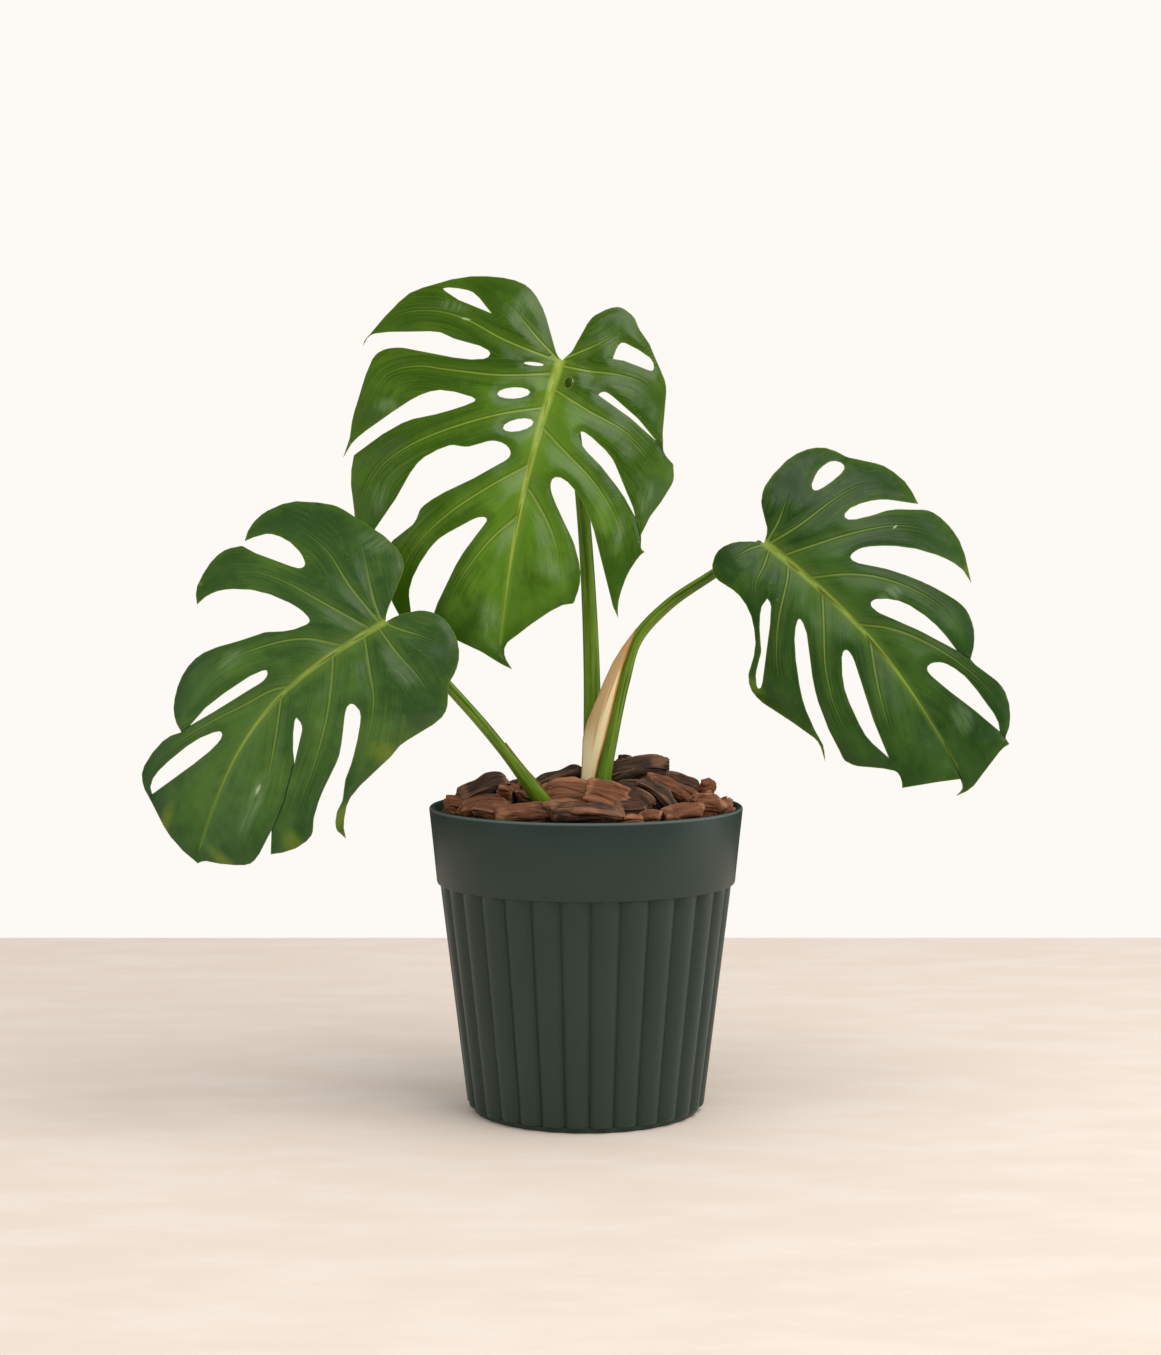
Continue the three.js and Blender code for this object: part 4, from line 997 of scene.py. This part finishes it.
def blade_edges(node, blade):
    """The outline and holes of a leaf's solid as loops of (s, w), read off a merged copy of it."""
    least_facing, least_points = 0.25, 8
    bm = bmesh.new()
    bm.from_mesh(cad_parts[node].data)
    ops.remove_doubles(bm, verts=bm.verts, dist=1e-6)
    ops.scale(bm, vec=(1 / MM, 1 / MM, 1 / MM), verts=bm.verts)
    hidden = [face for face in bm.faces
              if face.normal.dot((EYE - face.calc_center_median()).normalized()) < least_facing]
    ops.delete(bm, geom=hidden, context="FACES")
    left, islands = set(bm.faces), []
    while left:
        island = waiting = {left.pop()}
        while waiting:
            waiting = {other for face in waiting for edge in face.edges for other in edge.link_faces} & left
            left -= waiting
            island = island | waiting
        islands.append(island)
    sheet = max(islands, key=lambda island: sum(face.calc_area() for face in island))
    bm.edges.index_update()
    rim = {edge for face in sheet for edge in face.edges if len(edge.link_faces) == 1}
    loops = []
    while rim:
        edge = min(rim, key=lambda e: e.index)
        rim.discard(edge)
        loop = [edge.verts[0], edge.verts[1]]
        while True:
            ahead = next((e for e in loop[-1].link_edges if e in rim), None)
            if ahead is None:
                break
            rim.discard(ahead)
            loop.append(ahead.other_vert(loop[-1]))
        if len(loop) > least_points:
            loops.append([blade.flat(vert.co) for vert in loop[:-1]])
    bm.free()
    return loops


def smoothed(loop, spacing, corner_turn=62.0):
    """A closed loop drawn again with smooth stretches between its sharp corners."""
    closest = 0.25
    points = [np.array(loop[0])]
    for point in loop[1:]:
        if np.linalg.norm(np.array(point) - points[-1]) > closest:
            points.append(np.array(point))
    if np.linalg.norm(points[0] - points[-1]) < closest:
        points.pop()
    count = len(points)
    corners = set()
    for i in range(count):
        back, ahead = points[i] - points[i - 1], points[(i + 1) % count] - points[i]
        cosine = back @ ahead / (np.linalg.norm(back) * np.linalg.norm(ahead))
        if degrees(acos(max(-1.0, min(1.0, cosine)))) > corner_turn:
            corners.add(i)
    first = min(corners) if corners else 0
    order = [(first + i) % count for i in range(count)]
    ring = [points[i] for i in order]
    marked = {i for i, old in enumerate(order) if old in corners}

    def per_step(start, end):
        return max(1, round(np.linalg.norm(end - start) / spacing))

    if corners:
        return flowing([*ring, ring[0]], per_step, marked | {0, count})[:-1]
    lead = 3
    around = ring[-lead:] + ring + ring[:lead]
    whole = flowing(around, per_step)
    skip = sum(per_step(a, b) for a, b in zip(around[:lead], around[1:lead + 1]))
    keep = sum(per_step(a, b) for a, b in zip(ring, ring[1:] + ring[:1]))
    return whole[skip:skip + keep]


def ruled(bm, faces, axis, lines):
    """Cuts faces along upright lines of one coordinate, halving the work at each cut."""
    if not lines or not faces:
        return
    middle = len(lines) // 2
    at = lines[middle]
    normal = [float(i == axis) for i in range(3)]
    edges = {edge for face in faces for edge in face.edges}
    verts = {vert for face in faces for vert in face.verts}
    cut = ops.bisect_plane(bm, geom=[*faces, *edges, *verts], dist=1e-5,
                           plane_co=[at * part for part in normal], plane_no=normal)
    below, above = [], []
    for face in kept(cut, BMFace):
        (below if face.calc_center_bounds()[axis] < at else above).append(face)
    ruled(bm, below, axis, lines[:middle])
    ruled(bm, above, axis, lines[middle + 1:])


def vein_field(blade, veins, drawn, on_side):
    """For each drawn point: how far it is from its vein, with a sign that never flips between two veins,
    how far out along that vein it lies from 0 to 1, and how long the vein is."""
    count = len(drawn)
    nearest = np.full(count, 1e9)
    signed = np.full(count, 60.0)
    run = np.ones(count)
    order = {-1: 0, 1: 0}
    for vein in veins:
        line = np.array(flowing(vein, 4))
        starts, steps = line[:-1], np.diff(line, axis=0)
        lengths = np.linalg.norm(steps, axis=1)
        gone = np.concatenate(([0], np.cumsum(lengths)))
        out = drawn[:, None, :] - starts[None]
        share = np.clip((out * steps[None]).sum(2) / (lengths ** 2)[None], 0, 1)
        apart = np.linalg.norm(out - share[..., None] * steps[None], axis=2)
        best = apart.argmin(1)
        rows = np.arange(count)
        distance = apart[rows, best]
        turn = steps[best, 0] * out[rows, best, 1] - steps[best, 1] * out[rows, best, 0]
        side = 1 if (line[-1] - line[0]) @ blade.across > 0 else -1
        flip = side * (-1) ** order[side]
        order[side] += 1
        closer = (distance < nearest) & (on_side == side)
        nearest[closer] = distance[closer]
        signed[closer] = (flip * np.sign(turn) * distance)[closer]
        run[closer] = ((gone[best] + share[rows, best] * lengths[best]) / gone[-1])[closer]
    return signed, run


def crease_field(creases, drawn):
    """How far each drawn point lies to one side or the other of the nearest crease's line, and a share
    that is 1 along the crease itself and 0 from 2 mm past its ends."""
    nearest = np.full(len(drawn), 60.0)
    aside = np.full(len(drawn), 60.0)
    share = np.zeros(len(drawn))
    for start, end in creases:
        step = np.subtract(end, start)
        length = np.linalg.norm(step)
        out = drawn - np.array(start)
        along = out @ step / length
        turn = (step[0] * out[:, 1] - step[1] * out[:, 0]) / length
        beyond = np.maximum(0, -along) + np.maximum(0, along - length)
        apart = np.hypot(turn, beyond)
        closer = apart < nearest
        nearest[closer] = apart[closer]
        aside[closer] = turn[closer]
        share[closer] = np.clip(1 - beyond / 2, 0, 1)[closer]
    return aside, share


MEASURES = ("vein", "run", "rib", "margin", "side", "outward", "crease", "creased")


def leaf_shape(node, grid, thickness, quilting):
    """A blade with the outline of its solid, finely ruled, quilted between its veins, with its rib behind."""
    plan = LEAVES[node]
    seed = plan["seed"]
    blade = Blade(plan["form"])
    loops = [smoothed(loop, spacing=1.1) for loop in blade_edges(node, blade)]
    bm = bmesh.new()
    edges = []
    for loop in loops:
        row = [bm.verts.new((s, w, 0.0)) for s, w in loop]
        edges += [bm.edges.new((row[i - 1], row[i])) for i in range(len(row))]
    ops.triangle_fill(bm, edges=edges, use_beauty=True, use_dissolve=False, normal=(0, 0, 1))
    every = np.array([point for loop in loops for point in loop])
    low, high = every.min(0), every.max(0)
    ruled(bm, list(bm.faces), 0, list(np.arange(low[0] + grid, high[0], grid)))
    rib_wide, rib_thin = plan["rib"]
    near_rib = [side * w for side in (-1, 1) for w in (0.2, 0.45 * rib_wide, 0.85 * rib_wide)]
    columns = [w for w in np.arange(low[1] // grid * grid, high[1], grid) if abs(w) > 0.1] + near_rib
    ruled(bm, list(bm.faces), 1, sorted(columns))
    ops.remove_doubles(bm, verts=bm.verts, dist=0.02)
    ops.dissolve_degenerate(bm, edges=bm.edges, dist=0.01)
    ops.triangulate(bm, faces=[face for face in bm.faces if len(face.verts) > 4])

    lay, behind, *layers = new_layers(bm, "behind", *MEASURES)
    upper = set(bm.faces)
    made = ops.extrude_face_region(bm, geom=[*bm.faces, *bm.edges, *bm.verts], use_keep_orig=True)
    lower = kept(made, BMVert)
    for vert in lower:
        vert[behind] = 1.0
    ops.translate(bm, vec=(0, 0, -1), verts=lower)
    ops.recalc_face_normals(bm, faces=bm.faces)
    for face in bm.faces:
        face.material_index = 0 if face in upper else 1

    rim_tree = kdtree.KDTree(len(every))
    for i, (s, w) in enumerate(every):
        rim_tree.insert((s, w, 0.0), i)
    rim_tree.balance()
    s, w, back = np.array([(vert.co.x, vert.co.y, vert[behind]) for vert in bm.verts]).T
    drawn = blade.drawn(s, w)
    signed, run = vein_field(blade, plan["veins"], drawn, np.where(w < 0, -1, 1))
    crease, creased = crease_field(plan["creases"], drawn)
    margin = np.array([rim_tree.find((a, b, 0.0))[2] for a, b in zip(s, w)])
    down = np.clip(s / blade.length, 0, 1)
    half_rib = rib_thin + (rib_wide - rib_thin) * (1 - down) ** 1.2 + 1e-3
    past = np.maximum(0, -s - 1.5) + np.maximum(0, s - 0.97 * blade.length)
    rib = np.abs(w) / half_rib + past
    outward = np.hypot(s / blade.length - 0.5, w / (1.4 * plan["form"]["half"]))
    wave = np.array([noise.noise(Vector((a / 52, b / 40, seed)))
                     + 0.4 * noise.noise(Vector((a / 17, b / 15, -seed))) for a, b in zip(s, w)])
    if plan["veins"]:
        inner = np.clip(margin / 12, 0, 1)
        valley = (np.exp(-(signed / 8.5) ** 2) * (1 - 0.6 * run)
                  + 0.9 * np.exp(-(w / 9) ** 2) * np.clip(1 - past / 14, 0, 1))
        lift = quilting * (0.45 - valley) * (0.35 + 0.65 * inner) - 2.6 * wave * (0.5 + 0.5 * inner)
        curl = 1.1 * np.exp(-(margin / 3.5) ** 2)
        round_rib = np.sqrt(np.clip(1 - (np.abs(w) / (1.25 * half_rib)) ** 2, 0, 1))
        proud = (0.95 * half_rib * round_rib * (past <= 0.5)
                 + 0.5 * np.exp(-(signed / 1.3) ** 2) * (1 - 0.7 * run))
    else:
        lift = -0.4 * wave - 0.012 * w * w
        curl, proud = 0.0, 0.0
    depth = blade.depth(s, w) - lift + curl + thickness * (back - 0.5) * blade.slant(s, w) + back * proud

    low_corner, high_corner = (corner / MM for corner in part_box(node))
    rows = zip(bm.verts, drawn, depth, s, w, zip(signed, run, rib, margin, w, outward, crease, creased))
    for vert, (x, z), away, along, across, values in rows:
        place = in_space(x, z, away)
        vert.co = [min(max(part, low_corner[k]), high_corner[k]) for k, part in enumerate(place)]
        vert[lay] = (along, across, SHEET_APART * seed)
        for layer, value in zip(layers, values):
            vert[layer] = value
    bm.verts.layers.float.remove(behind)
    bm.normal_update()
    return bm


class PLANT_OT_leaves(bpy.types.Operator):
    """Make the three leaves from the outlines of their solids"""
    bl_idname = "plant.leaves"
    bl_label = "Leaves"

    def execute(self, context):
        choices = context.scene.plant_leaves
        young, young_deep, grown, grown_deep, vein, under = map(tuple, (
            choices.young, choices.young_deep, choices.grown, choices.grown_deep, choices.vein, choices.under))
        side_vein = tinted(vein, 0.76, 0.79, 0.9)
        young_back = leaf_under_finish("young_leaf_back", under, vein)
        back = leaf_under_finish("grown_leaf_back", tinted(under, 0.75), side_vein)
        grid = 2.0
        for node, slot, finish, behind, *looks in (
                ("leaf_tall", "young_leaf", "glossy_young_leaf", young_back, young, young_deep, vein,
                 0.28, 0.32, 0.2),
                # The left leaf takes a lighter, bluer copy of the grown greens, standing in for the light and
                # pale sheen on it; the right leaf takes a slightly darker copy.
                ("leaf_left", "grown_leaf", "satin_left_leaf", back, tinted(grown, 1.44, 1.26, 1.65),
                 tinted(grown_deep, 1.56, 1.29, 1.78), side_vein, 0.34, 0.3, 0.25),
                ("leaf_right", "grown_leaf", "satin_right_leaf", back, tinted(grown, 0.92),
                 tinted(grown_deep, 0.9), side_vein, 0.34, 0.2, 0.25)):
            bm = leaf_shape(node, grid, choices.thickness / MM, choices.quilting / MM)
            upper = leaf_upper_finish(finish, node, *looks)
            piece(node + "_blade", bm, [upper, behind], slot, [node], sharp=55.0)
        return {"FINISHED"}


class PLANT_OT_sheath(bpy.types.Operator):
    """Make the dried sheath between the stalks"""
    bl_idname = "plant.sheath"
    bl_label = "Dried sheath"

    def execute(self, context):
        finish = sheath_finish(context.scene.plant_sheath)
        bm = leaf_shape("dried_sheath", grid=1.2, thickness=0.7, quilting=0.0)
        piece("sheath_skin", bm, [finish, finish], "sheath", ["dried_sheath"], sharp=55.0)
        return {"FINISHED"}


# ---------- Stage ----------

def softbox(name, place, aim, size, power, colour):
    light = bpy.data.lights.new(name, "AREA")
    light.shape = "RECTANGLE"
    light.size, light.size_y = size
    light.energy = power
    light.color = colour
    obj = placed(name, light)
    obj.location = place
    obj.rotation_euler = (Vector(aim) - Vector(place)).to_track_quat("-Z", "Y").to_euler()


def studio(choices):
    """An even light all round, dimmer in gloss, with the air's colour where the camera sees it."""
    warm = (1.0, 0.985, 0.965)
    world = bpy.data.worlds.new("studio")
    world.use_nodes = True
    tree = world.node_tree
    ray = tree.nodes.new("ShaderNodeLightPath")
    lit = None
    for seen_by, colour, strength in ((None, warm, choices.around), ("Is Glossy Ray", warm, choices.gleam),
                                      ("Is Camera Ray", tuple(choices.air), 1.0)):
        light = tree.nodes.new("ShaderNodeBackground") if lit else tree.nodes["Background"]
        light.inputs["Color"].default_value = (*colour, 1.0)
        light.inputs["Strength"].default_value = strength
        made = light.outputs[0]
        if lit:
            both = tree.nodes.new("ShaderNodeMixShader")
            for socket, link in zip(both.inputs, (ray.outputs[seen_by], lit, made)):
                tree.links.new(link, socket)
            made = both.outputs[0]
        lit = made
    tree.links.new(lit, tree.nodes["World Output"].inputs["Surface"])
    return world


class PLANT_OT_stage(bpy.types.Operator):
    """Make the floor, the soft studio light and the camera"""
    bl_idname = "plant.stage"
    bl_label = "Stage"

    def execute(self, context):
        choices = context.scene.plant_stage
        half_floor, floor_middle = (4.0, 2.0, 1.0), (0.0, -1.31, 0.0)
        bm = bmesh.new()
        ops.create_grid(bm, x_segments=1, y_segments=1, size=1.0)
        ops.scale(bm, vec=half_floor, verts=bm.verts)
        ops.translate(bm, vec=floor_middle, verts=bm.verts)
        mesh = mesh_of("floor", bm)
        mesh.materials.append(floor_finish(choices))
        placed("floor", mesh)

        context.scene.world = studio(choices)
        middle = (0.0, 0.0, 0.3)
        softbox("key_softbox", (0.9, -0.95, 2.1), middle, (1.5, 1.5), choices.key, (1.0, 0.98, 0.95))
        softbox("side_softbox", (1.5, 0.1, 0.5), (0.0, 0.0, 0.2), (0.9, 1.3), choices.side, (1.0, 0.99, 0.97))
        softbox("fill_softbox", (-1.6, -0.9, 0.9), middle, (1.2, 1.6), choices.fill, (0.97, 0.98, 1.0))

        lens = bpy.data.cameras.new("view")
        lens.lens = CAMERA_LENS
        lens.sensor_width = SENSOR
        lens.sensor_fit = "AUTO"
        lens.shift_y = CAMERA_SHIFT
        camera = placed("view", lens)
        camera.location = EYE * MM
        camera.rotation_euler = (radians(90.0), 0.0, 0.0)
        context.scene.camera = camera
        context.scene.view_settings.view_transform = "Standard"
        return {"FINISHED"}


# ---------- The add-on ----------

class PLANT_PT_sidebar(bpy.types.Panel):
    """The plant's pieces and their choices"""
    bl_idname = "PLANT_PT_sidebar"
    bl_label = "Potted split-leaf plant"
    bl_space_type = "VIEW_3D"
    bl_region_type = "UI"
    bl_category = "Plant"

    def draw(self, context):
        for group, (_, maker) in PIECES.items():
            box = self.layout.box()
            box.operator(maker.bl_idname)
            settings = getattr(context.scene, group)
            for name in settings.bl_rna.properties.keys():
                if name not in ("rna_type", "name"):
                    box.prop(settings, name)


PIECES = {
    "plant_planter": (PlanterChoices, PLANT_OT_planter),
    "plant_bark": (BarkChoices, PLANT_OT_bark),
    "plant_stalks": (StalkChoices, PLANT_OT_stalks),
    "plant_leaves": (LeafChoices, PLANT_OT_leaves),
    "plant_sheath": (SheathChoices, PLANT_OT_sheath),
    "plant_stage": (StageChoices, PLANT_OT_stage),
}
CLASSES = [*(cls for pair in PIECES.values() for cls in pair), PLANT_PT_sidebar]


def register():
    for cls in CLASSES:
        bpy.utils.register_class(cls)
    for name, (group, _) in PIECES.items():
        setattr(bpy.types.Scene, name, bpy.props.PointerProperty(type=group))


def unregister():
    for name in PIECES:
        delattr(bpy.types.Scene, name)
    for cls in reversed(CLASSES):
        bpy.utils.unregister_class(cls)


def main():
    register()
    bpy.ops.plant.planter()
    bpy.ops.plant.bark()
    bpy.ops.plant.stalks()
    bpy.ops.plant.leaves()
    bpy.ops.plant.sheath()
    bpy.ops.plant.stage()


if __name__ == "__main__":
    main()
